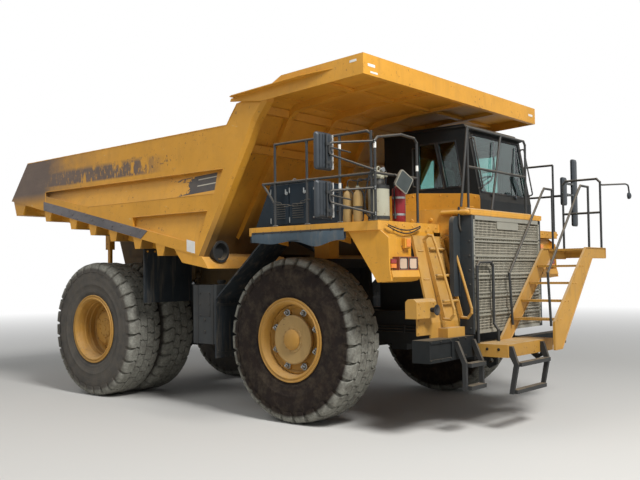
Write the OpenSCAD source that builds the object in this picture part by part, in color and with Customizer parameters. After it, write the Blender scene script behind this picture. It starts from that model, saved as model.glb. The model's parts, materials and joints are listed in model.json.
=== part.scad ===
// Rigid mining dump truck. X runs forward, Y to the driver's left and Z up, in millimetres.
// Inside the modules x = 0 is the front axle; the last lines shift the model so that the origin
// is the middle of its length, on the ground.

/* [Wheels] */
// Radius of every tyre over its lugs
tyre_r = 1260; // [1200:5:1290]
// Width of one tyre
tyre_w = 700; // [620:5:715]
// Radius of the rim flange
rim_r = 640; // [600:5:660]
// Distance between the front and the rear axle
wheelbase = 4950; // [4850:10:5050]
// Middle of a front tyre from the centre line
front_track = 2080; // [2050:5:2100]
// Middle of an outer rear tyre from the centre line
rear_track = 2160; // [2150:5:2180]
// Distance between the middles of the twin rear tyres
twin_pitch = 790; // [785:5:800]
// Number of lugs round one shoulder of a tyre
lugs = 14; // [12:1:14]

/* [Steering] */
// Kingpin from the centre line
kingpin_y = 1450; // [1430:5:1460]
// Radius of the wheel spindles
spindle_r = 110; // [90:5:120]

/* [Frame] */
// Height of the frame rails' underside
rail_z = 1120; // [1080:10:1160]
// Height of one frame rail
rail_h = 520; // [480:10:560]
// Width of one frame rail
rail_w = 170; // [140:5:180]
// Outer face of the rails from the centre line
rail_y = 620; // [600:5:630]

/* [Dump bed] */
// Height of the bed's pivot
pivot_z = 1950; // [1920:5:1980]
// Distance of the bed's pivot behind the rear axle
pivot_back = 1100; // [1080:10:1120]
// Slope of the bed floor in degrees
floor_slope = 12.3; // [11.5:0.1:12.8]
// Half of the bed's width over its rails
bed_y = 2620; // [2600:5:2640]
// How far the side rails stand out from the side wall
rail_out = 100; // [70:5:120]
// Thickness of the side and front plates
wall_t = 20; // [12:1:26]
// Height of the bed's top edge
bed_top = 4590; // [4540:10:4640]
// Distance of the bed's tail behind the rear axle
tail_back = 2723; // [2680:10:2760]
// Height of the canopy's side boards
board_h = 290; // [240:10:320]
// Half of the canopy's width
canopy_y = 2665; // [2640:5:2680]
// Front edge of the canopy ahead of the front axle
canopy_x = 1674; // [1640:5:1700]

/* [Decks and cab] */
// Height of the deck surface
deck_z = 2965; // [2950:5:2980]
// Thickness of the deck
deck_t = 125; // [100:5:140]
// Half of the width over the decks
deck_y = 2690; // [2660:5:2700]
// Inner, right-hand wall of the cab from the centre line
cab_right = 210; // [200:5:240]
// Width of the cab
cab_w = 1840; // [1800:10:1860]
// Height of the cab's roof
cab_top = 4700; // [4650:5:4720]
// Thickness of the cab's walls
cab_t = 50; // [40:2:60]

/* [Front] */
// Half of the grille's width
grille_y = 1085; // [1060:5:1100]
// Front face of the grille ahead of the front axle
grille_x = 2440; // [2420:5:2450]
// Height of the hood's top
hood_z = 3195; // [3180:5:3210]
// Height of the front platform
step_z = 1230; // [1210:5:1250]
// Front edge of the platform ahead of the front axle
platform_x = 2960; // [2920:5:3000]
// Radius of the handrail tubes
tube_r = 19; // [15:1:24]
// Half of the width over the mirrors
mirror_y = 3440; // [3400:5:3460]

/* [Hidden] */

// Reach of the whole truck: its tail, and the outer face of the stairs
tail_x = -wheelbase - tail_back;
stair_x0 = grille_x + 10;
stair_w = 700;
nose_x = stair_x0 + stair_w + 45;
origin_x = (tail_x + nose_x) / 2;
rear_x = -wheelbase;
pivot_x = rear_x - pivot_back;
axle_z = tyre_r;
e = 1;

// Running clearance of round pins, and the gap between pieces that rest on each other
run_fit = 0.06;
seat_gap = 0.3;
tow_r = 35;

// Lower edge of the canopy's boards, which rises towards the front from the heads of the corner posts
head_x = -249;
head_z = bed_top + 312;
canopy_rear = -300;
canopy_rise = 97;
function canopy_z(x) = head_z + canopy_rise * (x - head_x) / (canopy_x - head_x);
// Underside of the canopy's sheet and of its ribs, over the boards' lower edge
sheet_up = 145;
rib_up = 85;
function sheet_z(x) = canopy_z(x) + sheet_up;

// Two mirrored copies, left and right
module pair() { children(); mirror([0, 1, 0]) children(); }

// A block from its lowest to its highest corner
module block(lo, hi) translate(lo) cube(hi - lo);

// A profile given as [x, z] points, from y = a to y = b
module side_plate(points, a, b)
    translate([0, b, 0]) rotate([90, 0, 0]) linear_extrude(b - a) polygon(points);

// A profile given as [y, z] points, from x = a to x = b
module cross_plate(points, a, b)
    translate([a, 0, 0]) rotate([90, 0, 90]) linear_extrude(b - a) polygon(points);

// A straight round bar between two points
module bar(p, q, r, fn = 24) {
    d = q - p;
    len = norm(d);
    translate(p) rotate([0, acos(d[2] / len), atan2(d[1], d[0])]) cylinder(r = r, h = len, $fn = fn);
}

// A tube through a list of points, with a clamp ball at each inner corner
module rail(points, r = tube_r) {
    for (i = [0 : len(points) - 2]) bar(points[i], points[i + 1], r);
    if (len(points) > 2)
        for (i = [1 : len(points) - 2]) translate(points[i]) sphere(r = r * 1.12, $fn = 24);
}

// A disc or ring about the Y axis, from y = a to y = b
module disc(r, a, b, hole = 0, fn = 48)
    translate([0, b, 0]) rotate([90, 0, 0]) difference() {
        cylinder(r = r, h = b - a, $fn = fn);
        if (hole > 0) translate([0, 0, -e]) cylinder(r = hole, h = b - a + 2 * e, $fn = fn);
    }

// The same between y = a and y = b, with its axis through point p
module disc_at(p, r, a, b, fn = 48) translate([p[0], 0, p[2]]) disc(r, a, b, 0, fn);

// WHEELS

// Seat of the tyre's bead on the rim, and the side of the bead
bead_r = rim_r - 62;
bead_y = tyre_w * 0.43;
flange_t = 24;
// Spindle bearing: the hub's bore and how far it stands inside the wheel
hub_bore_r = spindle_r + run_fit;
hub_out = tyre_w / 2 - 130;
// The rear hub runs on the end of the axle tube
axle_r = 290;
rear_bore_r = axle_r + run_fit;

// One tyre about the Y axis, centred on its own middle: its casing as a section of [radius, y], and
// two rows of lugs, half a pitch apart
lug_h = 62;
module tyre() {
    h = tyre_w / 2;
    half = [[bead_r, bead_y], [rim_r + 12, bead_y], [rim_r + 250, h], [(tyre_r - lug_h) * 0.945, h * 0.93]];
    count = len(half);
    rotate([90, 0, 0]) rotate_extrude($fn = 24)
        polygon([for (i = [0 : 2 * count - 1]) i < count ? half[i] : let (p = half[2 * count - 1 - i]) [p[0], -p[1]]]);
    for (k = [0, 180]) rotate([0, 0, k]) rotate([90, k / lugs, 0]) linear_extrude(h * 0.97, scale = 0.955) lug_ring();
}

// Ring of lugs and the groove floors between them, about the origin. A lug's edges stand at 0.21 and
// 0.79 of its pitch, and two of them touch the ground
module lug_ring() {
    step = 360 / lugs;
    low = tyre_r - lug_h;
    high = tyre_r / cos(0.21 * step);
    difference() {
        polygon([for (i = [0 : lugs - 1], k = [[0.19, low], [0.21, high], [0.79, high], [0.81, low]])
            [k[1] * cos((i + k[0]) * step), k[1] * sin((i + k[0]) * step)]]);
        circle(r = low - 168, $fn = 8);
    }
}

// Barrel of one rim between its two flanges, just clear of the bead
module rim_barrel() {
    g = seat_gap;
    half = [[bead_r - 48, 0], [bead_r - 48, bead_y * 0.7], [bead_r - 25, bead_y], [bead_r - 20, bead_y + 22],
        [rim_r - 22, bead_y + flange_t + 8], [rim_r, bead_y + flange_t], [rim_r, bead_y + g],
        [bead_r - g, bead_y + g], [bead_r - g, 0]];
    for (s = [-1, 1]) rotate([90, 0, 0]) rotate_extrude($fn = 60)
        polygon([for (p = half) [p[0], s * (p[1] > 0 ? p[1] : -1)]]);
}

// Front wheel on the right: dished disc, hub face and cap, running on the spindle
module front_rim() {
    rim_barrel();
    // Disc that carries the rim, inside its barrel
    disc(bead_r - 40, -hub_out + 60, -hub_out + 110, spindle_r + 60);
    // Hub with its round face and cap
    disc(370, -hub_out - 20, -hub_out + 65, spindle_r + 30);
    disc(210, -hub_out + 60, 120, hub_bore_r);
    disc(spindle_r + 60, -hub_out - 50, -hub_out - 15);
    disc(96, -hub_out - 80, -hub_out - 49);
}

// Twin rear wheels on the right: outer one on y = 0, inner one towards +Y
rear_face = -tyre_w / 2 + 330;
module rear_rims() {
    for (y = [0, twin_pitch]) translate([0, y, 0]) rim_barrel();
    // Hub drum that carries both barrels, with the final drive's cover on its face
    disc(bead_r - 40, rear_face + 60, rear_face + 110, 240);
    disc(bead_r - 40, twin_pitch - 60, twin_pitch - 10, rear_bore_r);
    disc(430, rear_face + 100, twin_pitch - 50, rear_bore_r);
    disc(335, rear_face - 40, rear_face + 62);
    disc(150, rear_face - 75, rear_face - 39);
}

// FRAME

rail_in = rail_y - rail_w;
rail_top = rail_z + rail_h;
// Rails start to rise here, and rise over the rear axle by this much
rise_x = rear_x + 1450;
rear_rise = 330;
// Face of the cross member that holds the axle's torque tube
torque_x = rear_x + 1650;
arch_z = rail_top - 40;
pad_h = 40;
pin_r = 75;
hoist_pin_r = 60;
hoist_y = 835;
// Kingpin's ball seat and the lower arm under it
arm_top = rail_z - 110;
arm_t = 120;
ball_r = 60;
strut_top = 2350;

module main_frame() color("#23282b") {
    difference() {
        union() {
            pair() {
                // Main rail, raised and arched over the rear axle
                side_plate([[2200, rail_z], [2200, rail_top], [rise_x, rail_top],
                    [rise_x - 800, rail_top + rear_rise], [pivot_x - 120, rail_top + rear_rise],
                    [pivot_x - 120, arch_z], [rise_x - 1060, arch_z], [rise_x - 850, rail_z]], rail_in, rail_y);
                // Round ear of the bed's pivot
                translate([pivot_x, rail_y, pivot_z]) rotate([90, 0, 0]) cylinder(r = 150, h = rail_w, $fn = 48);
                // Tower and bracket of the front strut
                side_plate([[-220, rail_top - e], [220, rail_top - e], [180, strut_top + 140],
                    [-180, strut_top + 140]], rail_y - 90, rail_y);
                block([-180, rail_y - e, strut_top], [180, kingpin_y + 150, strut_top + 140]);
                side_plate([[-180, strut_top + e], [-40, strut_top + e], [-40, strut_top - 400]],
                    rail_y + 40, rail_y + 80);
                cross_plate([[rail_y - e, strut_top + e], [kingpin_y - 160, strut_top + e],
                    [rail_y - e, strut_top - 420]], -20, 20);
                // Foot bracket of the hoist and its pin
                side_plate([[hoist_foot[0] - 190, rail_z + 40], [hoist_foot[0] + 190, rail_z + 40],
                    [hoist_foot[0] + 90, hoist_foot[2] - 90], [hoist_foot[0] - 90, hoist_foot[2] - 90]],
                    rail_y - 120, rail_y);
                disc_at(hoist_foot, hoist_pin_r, rail_y - e, hoist_y + 85);
                disc_at(hoist_foot, 100, hoist_y + 66, hoist_y + 90);
                // Outrigger and bracket of the rear suspension cylinder
                block([susp_x - 110, rail_y - e, susp_top], [susp_x + 110, hoist_y + 110, susp_top + 90]);
                // Rest pads for the bed
                for (x = [rise_x + 300, rise_x + 1300]) block([x - 130, rail_in + 20, rail_top - e],
                    [x + 130, rail_y - 20, rail_top + pad_h]);
            }
            // Cross members: [rear x, front x, lift over the rail's underside]
            for (x = [[-1700, -1400, 0], [torque_x, torque_x + 300, 0], [pivot_x + 330, pivot_x + 510, 500],
                    [1950, 2190, 0]])
                block([x[0], -rail_in - e, rail_z + 60 + x[2]], [x[1], rail_in + e, rail_top - 60
                    + x[2] * 0.6]);
            // Strut cross tube
            translate([0, 0, strut_top + 70]) rotate([90, 0, 0])
                cylinder(r = 62, h = 2 * rail_y - 20, center = true, $fn = 32);
            // Tail member with the tow plates
            block([pivot_x - 118, -rail_in - e, arch_z + 20], [pivot_x + 60, rail_in + e, arch_z + 220]);
            for (z = [arch_z + 20, arch_z + 180])
                translate([pivot_x - 118 - 60, 0, z]) cylinder(r = 110, h = 40, $fn = 48);
            for (z = [arch_z + 20, arch_z + 180])
                block([pivot_x - 118 - 60, -110, z], [pivot_x - 100, 110, z + 40]);
        }
        // Bore of the bed's pivot pin, and the rear tow pin's bore
        translate([pivot_x, 0, pivot_z]) rotate([90, 0, 0])
            cylinder(r = pin_r + run_fit, h = 3 * rail_y, center = true, $fn = 48);
        translate([pivot_x - 118 - 60, 0, arch_z]) cylinder(r = tow_r, h = 300, $fn = 48);
    }
}

module engine_and_radiator() color("#2b2f31") {
    block([300, -rail_in + seat_gap, rail_z + 260], [1890, rail_in - seat_gap, rail_z + 1350]);
    block([2080, -1000, rail_top + seat_gap], [2330, 1000, 3040]);
}

// Plain heavy bumper across the nose, higher at its right end, with a tow eye at each side
tow_y = 778;
tow_t = 60;
box_top = 1350;
box_in = -1165;
module front_bumper() color("#3a3f42") difference() {
    union() {
        block([2205, -2375, box_top - 300], [grille_x + 20, box_in, box_top]);
        block([2205, box_in - e, step_z - 230], [grille_x + 20, -800, step_z - 10]);
        block([2205, -800 - e, step_z - 230], [grille_x - 40, 2150, step_z - 20]);
        // Frame round the dark panel of the right end
        for (z = [box_top - 299, box_top - 45]) block([grille_x + 19, -2374, z], [grille_x + 40, -1760, z + 44]);
        for (y = [-2374, -1805]) block([grille_x + 19, y, box_top - 299], [grille_x + 40, y + 45, box_top - 1]);
        pair() {
            side_plate([[2206, step_z - 200], [2206, rail_z + 90], [1900, rail_z + 90],
                [1900, rail_z - 60], [2206, step_z - 225]], rail_y + seat_gap, rail_y + 120);
            side_plate([[grille_x - 60, step_z - 190], [grille_x + 170, step_z - 190],
                [grille_x + 170, step_z - 320], [grille_x + 60, step_z - 380], [2300, step_z - 229],
                [2300, step_z - 190]], tow_y - tow_t / 2, tow_y + tow_t / 2);
        }
    }
    translate([grille_x + 95, 0, step_z - 265]) rotate([90, 0, 0])
        cylinder(r = tow_r, h = 3 * tow_y, center = true, $fn = 48);
}

// Radiator guard: side cheeks with a rounded upper corner, and bands of mesh between double bars
cheek_x = 2140;
grille_low = 1360;
grille_top = 3080;
band_h = 271;
module grille() color("#4b5358") {
    pair() side_plate([[cheek_x, grille_low], [grille_x, grille_low], [grille_x, grille_top],
        [cheek_x + 110, grille_top], [cheek_x + 40, 3050], [cheek_x + 8, 3000], [cheek_x, 2930]],
        grille_y, grille_y + 45);
    block([grille_x - 60, -grille_y - e, grille_low], [grille_x, grille_y + e, grille_low + 40]);
    block([grille_x - 60, -grille_y - e, grille_top - 75], [grille_x, grille_y + e, grille_top]);
    block([grille_x - 40, -grille_y - e, grille_low + 39], [grille_x - 28, grille_y + e, grille_top - 74]);
    for (i = [1 : 5]) {
        z = grille_low + 18 + i * band_h;
        for (k = [-34, 14]) block([grille_x - 29, -grille_y - e, z + k], [grille_x, grille_y + e, z + k + 20]);
        for (j = [-5 : 5]) block([grille_x - 29, j * 196 - 6, z - 15], [grille_x - 8, j * 196 + 6, z + 15]);
    }
    // Frame strips up the sides, and the bare plate in the top band
    for (y = [-grille_y - e, grille_y - 39]) block([grille_x - 29, y, grille_low + 39], [grille_x, y + 40, grille_top - 74]);
    block([grille_x - 29, -330, grille_top - 180], [grille_x - 10, 330, grille_top - 74]);
}

// Hood over the engine: side plates, top and front lip, open at the rear and below
module hood() color("#e0a020") {
    y1 = grille_y + 55;
    x1 = cheek_x - seat_gap;
    difference() {
        side_plate([[-60, deck_z - 110], [-60, hood_z - 60], [0, hood_z], [grille_x - 110, hood_z],
            [grille_x - 10, hood_z - 50], [grille_x + 5, hood_z - 112], [x1, 3085], [x1, 1330],
            [1910, 1330], [1910, deck_z - 110]], -y1, y1);
        side_plate([[-70, deck_z - 120], [-70, hood_z - 75], [10, hood_z - 15],
            [grille_x - 115, hood_z - 15], [grille_x - 20, hood_z - 62], [grille_x - 20, 3100],
            [x1 + 1, 3100], [x1 + 1, 1320], [1900, 1320], [1900, deck_z - 120]],
            -y1 + 15, y1 - 15);
    }
    // Rolled lip over the radiator guard
    block([grille_x - 120, -y1 - 30, 3092], [grille_x - 40, -y1 + e, 3165]);
    block([grille_x - 120, y1 - e, 3092], [grille_x - 40, y1 + 30, 3165]);
    block([grille_x - 41, -y1 - 30, 3092], [grille_x + 6, y1 + 30, 3165]);
}

// DECKS

deck_rear = -530;
deck_front = 1900;
module deck_right() {
    difference() {
        block([deck_rear, -deck_y, deck_z - deck_t], [deck_front, -grille_y - 55 - seat_gap, deck_z]);
        block([deck_rear + 60, -deck_y + 60, deck_z - deck_t - e],
            [deck_front - 60, -grille_y - 130, deck_z - 12]);
    }
    // Beam that carries the deck from the strut bracket
    block([-150, -kingpin_y - 150, strut_top + 140 + seat_gap], [150, -kingpin_y + 100, deck_z - 12]);
}

module deck_left() {
    difference() {
        block([deck_rear, grille_y + 55 + seat_gap, deck_z - deck_t], [deck_front + 140, deck_y, deck_z]);
        block([deck_rear + 60, grille_y + 130, deck_z - deck_t - e],
            [deck_front + 80, deck_y - 60, deck_z - 12]);
    }
    block([-150, kingpin_y - 100, strut_top + 140 + seat_gap], [150, kingpin_y + 150, deck_z - 12]);
}

module decks() color("#d9a441") {
    deck_right();
    deck_left();
}

platform_right = -1117;
platform_left = 360;
module front_platform() color("#e0a020") {
    // Tongue that rests on the lower, middle part of the bumper
    block([grille_x - 40 + seat_gap, -790, step_z - 170], [grille_x + 30, platform_left - 10, step_z - 30]);
    difference() {
        block([grille_x + 20 + seat_gap, platform_right, step_z - 180], [platform_x, platform_left, step_z]);
        block([grille_x + 60, platform_right + 30, step_z - 181],
            [platform_x - 30, platform_left - 30, step_z - 12]);
    }
}

// Stairs that climb to the left across the nose, and the landing at their top
landing_z = 2620;
landing_y = 1400;
landing_w = 620;
climb = 1.1;
function stair_y(z) = -332 + (z - 1290) * climb;
module stairs() color("#e0a020") {
    foot = step_z + seat_gap;
    // Inner stringer stands on the platform, the outer one passes before it
    cross_plate([[stair_y(foot), foot], [stair_y(landing_z), landing_z], [landing_y + landing_w, landing_z],
        [landing_y + landing_w, landing_z - 160], [landing_y - 20, landing_z - 160],
        [stair_y(foot) + 320, foot]], stair_x0, stair_x0 + 40);
    cross_plate([[-40, 1090], [-40, 1500], [stair_y(landing_z) + 60, landing_z], [landing_y + landing_w, landing_z],
        [landing_y + landing_w, landing_z - 160], [landing_y + 40, landing_z - 160], [200, 1090]],
        stair_x0 + stair_w, stair_x0 + stair_w + 40);
    for (i = [0 : 3]) {
        z = 1545 + i * 268;
        block([stair_x0 + 39, stair_y(z) + 70, z - 30], [stair_x0 + stair_w + 1, stair_y(z) + 290, z]);
    }
    block([stair_x0 + 39, landing_y - 60, landing_z - 30],
        [stair_x0 + stair_w + 1, landing_y + landing_w, landing_z - 1]);
    // Step from the landing back to the deck
    block([deck_front + 140 + seat_gap, grille_y + 80, landing_z - 130], [stair_x0 + e, landing_y + landing_w, landing_z]);
}

// Black steps that hang from the platform and the bumper: [side plates' profile, their y, rungs' x, rungs' z]
module hanging_steps() color("#2e2f2e") {
    a = platform_x + seat_gap;
    b = grille_x + 20 + seat_gap;
    for (y = [-1080, -90]) side_plate([[a, step_z - 20], [a + 50, step_z - 20], [a + 135, 960], [a + 50, 545],
        [a - 10, 545], [a + 65, 955], [a, 1080]], y, y + 50);
    block([a + 64, -1031, 930], [a + 165, -89, 985]);
    block([a - 9, -1031, 545], [a + 95, -89, 600]);
    for (y = [-1700, -1240]) side_plate([[b, box_top - 50], [b + 40, box_top - 50], [b + 170, 1010], [b + 170, 640],
        [b + 110, 640], [b + 110, 990], [b, 1220]], y, y + 50);
    block([b + 109, -1651, 950], [b + 230, -1239, 1005]);
    block([b + 109, -1651, 640], [b + 230, -1239, 695]);
}

// Ladder with its two rail loops, the plate behind it and the covers at its foot
module ladder_right() color("#e0a020") {
    for (y = [-1700, -1220]) {
        side_plate([[1960, 2730], [2020, 2730], [2330, 1590], [2270, 1590]], y - 8, y + 8);
        rail([[1955, y, 2700], [2060, y, 2785], [2130, y, 2770], [2180, y, 2650], [2460, y, 1740], [2460, y, 1670],
            [2400, y, 1600], [2290, y, 1605]], 20);
    }
    for (z = [2591, 2209, 1846]) bar([2000 + (2730 - z) * 0.272, -1701, z], [2000 + (2730 - z) * 0.272, -1219, z], 17);
    side_plate([[1915, 2780], [1960, 2780], [2235, 1560], [2235, box_top + seat_gap], [2212, box_top + seat_gap],
        [2212, 1560]], -1950, -1165);
    // Bent cover and plates beside the ladder's foot
    side_plate([[2150, 1640], [2150, 1860], [2190, 1900], [2290, 1900], [2330, 1860], [2330, 1640]], -2440, -1949);
    block([2212, -2280, 1400], [2232, -1949, 1641]);
    block([2234, -1760, box_top + seat_gap], [2390, -1300, 1480]);
}

// Wings that carry the head lamps under the decks
module wing_panels() color("#d99a1c") {
    roof = deck_z - deck_t - seat_gap;
    pair() {
        // Outer cheek, cut along the wheel arch
        side_plate([[1353, roof], [1895, roof], [2032, 2732], [2045, 2300], [2075, 2150], [1845, 2130]], -2640, -2615);
        // Front plate, and the lamp shelf with its raked face
        block([1901, -2616, 2130], [1935, -1955, 2790]);
        side_plate([[1934, 2130], [2040, 2150], [2085, 2200], [2060, 2290], [1934, 2290]], -2616, -1955);
        block([1860, -2616, roof - 60], [1902, -1300, roof]);
    }
}

module lamps() color("#dfe3dc") pair() {
    x = 1935 + seat_gap;
    for (y = [-2300, -2062]) block([x, y - 112, 2290 + seat_gap], [2050, y + 112, 2478]);
    block([x, -2190, 2590], [2030, -2040, 2745]);
    block([x, -2590, 2310], [2040, -2440, 2450]);
}

// CAB

cab_left = cab_right + cab_w;
cab_rear = -40;
cab_outline = [[cab_rear, hood_z + seat_gap], [cab_rear, cab_top], [1560, cab_top], [1640, cab_top - 110],
    [1850, 3430], [1850, hood_z + seat_gap]];
// Openings of the cab's right window before and behind its raked pillar, as [x, z] points, and the
// same shapes drawn in by the panes' gap
side_windows = [[[680, 3670], [680, 4425], [1000, 4425], [1165, 3670]],
    [[1225, 3670], [1060, 4425], [1395, 4425], [1525, 3670]]];
side_panes = [[[680.3, 3670.3], [680.3, 4424.7], [999.7, 4424.7], [1164.5, 3670.3]],
    [[1225.5, 3670.3], [1060.5, 4424.7], [1394.6, 4424.7], [1524.5, 3670.3]]];
module cab_shell() color("#1c2023") {
    difference() {
        side_plate(cab_outline, cab_right, cab_left);
        side_plate([[cab_rear + cab_t, hood_z + 50], [cab_rear + cab_t, cab_top - 90],
            [1520, cab_top - 90], [1590, cab_top - 130], [1800, 3430], [1800, hood_z + 50]],
            cab_right + cab_t, cab_left - cab_t);
        for (w = side_windows) side_plate(w, cab_right - 10, cab_right + cab_t + 10);
        // Door opening on the left
        side_plate(door_outline, cab_left - cab_t - 10, cab_left + 10);
        // Windscreen and rear window
        side_plate([[1500, 3560], [1500, 4520], [1700, 4520], [1900, 3560]],
            cab_right + 90, cab_left - 90);
        block([cab_rear - 10, cab_right + 200, 3700], [cab_rear + cab_t + 10, cab_left - 200, 4400]);
    }
    // Hinge knuckles of the door, under those on the door
    for (z = [3400, 4250]) {
        translate([door_pin[0], door_pin[1], z - 60]) cylinder(r = 10, h = 60 - seat_gap, $fn = 24);
        block([door_rear - 60, cab_left - e, z - 60], [door_rear, door_pin[1], z - seat_gap]);
    }
    // Leg that stands on the left deck
    block([100, 1300, deck_z + seat_gap], [1700, cab_left - 20, hood_z + 6]);
}
door_rear = 560;
door_front = 1300;
door_gap = 6;
door_outline = [[door_rear, hood_z + 60], [door_rear, 4470], [door_front, 4470],
    [door_front, hood_z + 60]];
door_pin = [door_rear, cab_left + 14];

module cab_glass() color("#7fb0b8", 0.5) {
    for (w = side_panes) side_plate(w, cab_right + 22, cab_right + 30);
    // Windscreen, in the plane of the raked front
    side_plate([[1816, 3560.3], [1648, 4519.7], [1640, 4519.7], [1808, 3560.3]], cab_right + 90.3, cab_left - 90.3);
    block([cab_rear + 20, cab_right + 200.3, 3700.3], [cab_rear + 28, cab_left - 200.3, 4399.7]);
}

module cab_seat_and_wheel() color("#26292c") {
    mid = (cab_right + cab_left) / 2;
    block([700, mid - 260, hood_z + 50 + seat_gap], [1150, mid + 260, 3620]);
    block([600, mid - 250, 3600], [740, mid + 250, 4250]);
    block([1500, mid - 650, hood_z + 50 + seat_gap], [1774, mid + 650, 3540]);
    bar([1500, mid, 3500], [1350, mid, 3800], 30);
    translate([1345, mid, 3810]) rotate([0, -26.6, 0]) rotate_extrude($fn = 36)
        translate([210, 0]) circle(r = 18, $fn = 24);
    for (k = [0, 90]) translate([1345, mid, 3810]) rotate([0, -26.6, k]) rotate([0, 90, 0])
        cylinder(r = 12, h = 420, center = true, $fn = 24);
}

// Door in the cab's left wall, hinged at its rear edge
module cab_door() color("#1c2023") {
    g = door_gap;
    difference() {
        side_plate([[door_rear + g, hood_z + 66], [door_rear + g, 4470 - g], [door_front - g, 4470 - g],
            [door_front - g, hood_z + 66]], cab_left - cab_t + 5, cab_left + 2);
        side_plate([[door_rear + 90, 3700], [door_rear + 90, 4380], [door_front - 90, 4380],
            [door_front - 90, 3700]], cab_left - 80, cab_left + 10);
    }
    // Hinge knuckles on the outside
    for (z = [3400, 4250]) {
        translate([door_pin[0], door_pin[1], z]) cylinder(r = 10, h = 90, $fn = 24);
        block([door_rear + g, cab_left, z], [door_rear + 60, cab_left + 12, z + 90]);
        block([door_rear, cab_left + 6, z], [door_rear + g + 1, cab_left + 12, z + 90]);
    }
}
module door_glass() color("#7fb0b8", 0.5)
    side_plate([[door_rear + 90.3, 3700.3], [door_rear + 90.3, 4379.7], [door_front - 90.3, 4379.7],
        [door_front - 90.3, 3700.3]], cab_left - 24, cab_left - 16);

// HANDRAILS AND MIRRORS

rail_top_z = deck_z + 1230;
module handrails_right() {
    y = -deck_y + 25;
    z1 = deck_z + 0.2;
    for (x = [0, 631, 1240, 1788]) bar([x, y, z1], [x, y, rail_top_z], tube_r);
    rail([[0, y, deck_z + 330], [-250, y, deck_z + 650], [1788, y, deck_z + 650]]);
    rail([[-10, y, rail_top_z], [1720, y, rail_top_z], [1788, y, rail_top_z - 40]]);
    // Frame across the front corner of the deck
    rail([[1850, y, z1], [1850, y, 4050], [1850, y + 60, 4105], [1850, -2040, 4205], [1850, -1710, 4190],
        [1850, -1640, 4130], [1850, -1640, z1]]);
    bar([1788, y, deck_z + 650], [1850, y, deck_z + 650], tube_r);
    bar([1850, y, deck_z + 650], [1850, -1640, deck_z + 650], tube_r);
}

module handrails_left() {
    y = deck_y - 30;
    z1 = deck_z + 0.2;
    for (x = [-300, 480, 1240, 2000]) bar([x, y, z1], [x, y, rail_top_z], tube_r);
    for (z = [deck_z + 650, rail_top_z]) bar([-300, y, z], [2000, y, z], tube_r);
    // Rails of the landing, with rounded corners
    yl = landing_y + landing_w - 40;
    lz = landing_z + 0.2;
    top = 3800;
    rail([[stair_x0 + 30, yl, lz], [stair_x0 + 30, yl, top - 60], [stair_x0 + 90, yl, top],
        [nose_x - 120, yl, top], [nose_x - 60, yl, top - 60], [nose_x - 60, yl, lz]]);
    bar([stair_x0 + 30, yl, 3230], [nose_x - 60, yl, 3230], tube_r);
    // Raked rails beside the stairs
    for (x = [stair_x0 + 40 + tube_r + seat_gap, stair_x0 + stair_w - tube_r - seat_gap])
        rail([[x, stair_y(1440) + 110, 1440], [x, stair_y(1440) + 30, 2230], [x, stair_y(landing_z) - 40, 3560],
            [x, stair_y(landing_z) + 30, 3620], [x, landing_y + 60, 3620], [x, landing_y + 60, lz]]);
}

module handrails_deck() color("#2a2e30") {
    handrails_right();
    handrails_left();
}

module handrails_front() color("#1d2022") {
    top = 4410;
    z1 = hood_z + 0.2;
    x = 2260;
    rail([[x, -900, z1], [x, -900, top], [x, 950, top], [x, 1005, top - 60], [x, 985, z1 + 15]]);
    bar([x, -185, z1 + 15], [x, 150, top], tube_r);
    bar([x, -900, 3820], [x, 1000, 3815], tube_r);
    // Raked outer post that stands on the lip of the hood
    bar([x, -grille_y - 30, z1 + 15], [x, -900, top], tube_r);
    // Grab rail that stands on the platform before the grille
    rail([[2490, platform_right + 25, step_z + 0.2], [2490, platform_right + 25, 2340],
        [2490, platform_right + 85, 2400], [2490, platform_right + 440, 2400],
        [2490, platform_right + 500, 2340], [2490, platform_right + 500, 1500],
        [2560, platform_right + 500, 1400], [2560, platform_right + 500, step_z + 0.2]], 22);
}

module mirrors() color("#23282b") {
    // Two mirrors on looped arms beside the right deck, clamped to the corner post
    y = -deck_y + 25 - tube_r;
    for (z = [3880, 3240]) {
        block([1420, -mirror_y, z - 250], [1490, -mirror_y + 330, z + 250]);
        rail([[1850, y - 25, z + 60], [1700, -mirror_y + 200, z + 195], [1450, -mirror_y + 130, z + 200]], 15);
        rail([[1450, -mirror_y + 130, z - 200], [1700, -mirror_y + 200, z - 195], [1850, y - 25, z - 180]], 15);
        for (c = [z + 60, z - 180]) block([1828, y - 45, c - 25], [1872, y - seat_gap, c + 25]);
    }
    // Two mirrors before the left deck, a low one and a tall one
    block([2300, 2280, 3420], [2360, 2480, 3920]);
    side_plate([[2300, 3060], [2300, 4220], [2360, 4290], [2360, 3060]], 2740, 2940);
    for (z = [3600, 3800]) block([2310, 2479, z], [2350, 2741, z + 40]);
    block([2000 + tube_r + seat_gap, 2640, 3600], [2311, 2680, 3640]);
    // Round convex mirror on its arm beyond the landing
    yl = landing_y + landing_w - 40;
    rail([[nose_x - 60, yl + tube_r + seat_gap, 3700], [nose_x - 60, yl + 100, 3700], [nose_x - 60, mirror_y - 260, 3800],
        [nose_x - 60, mirror_y - 110, 3790], [nose_x - 60, mirror_y - 60, 3620]], 15);
    translate([nose_x - 60, mirror_y - 60, 3600]) rotate([0, 90, 0])
        cylinder(r = 60, h = 60, center = true, $fn = 40);
}

// ON THE DECK AND THE FRAME

module side_cabinet() color("#22333a")
    side_plate([[deck_rear + 10, deck_z + 0.2], [-190, 3620], [560, 3620], [560, deck_z + 0.2]], -2560, -1750);

module suppression_tank() color("#d8d2b8") {
    translate([1640, -2300, deck_z + seat_gap]) cylinder(r = 150, h = 640, $fn = 40);
    translate([1640, -2300, deck_z + 640]) cylinder(r = 60, h = 160, $fn = 32);
}

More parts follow.
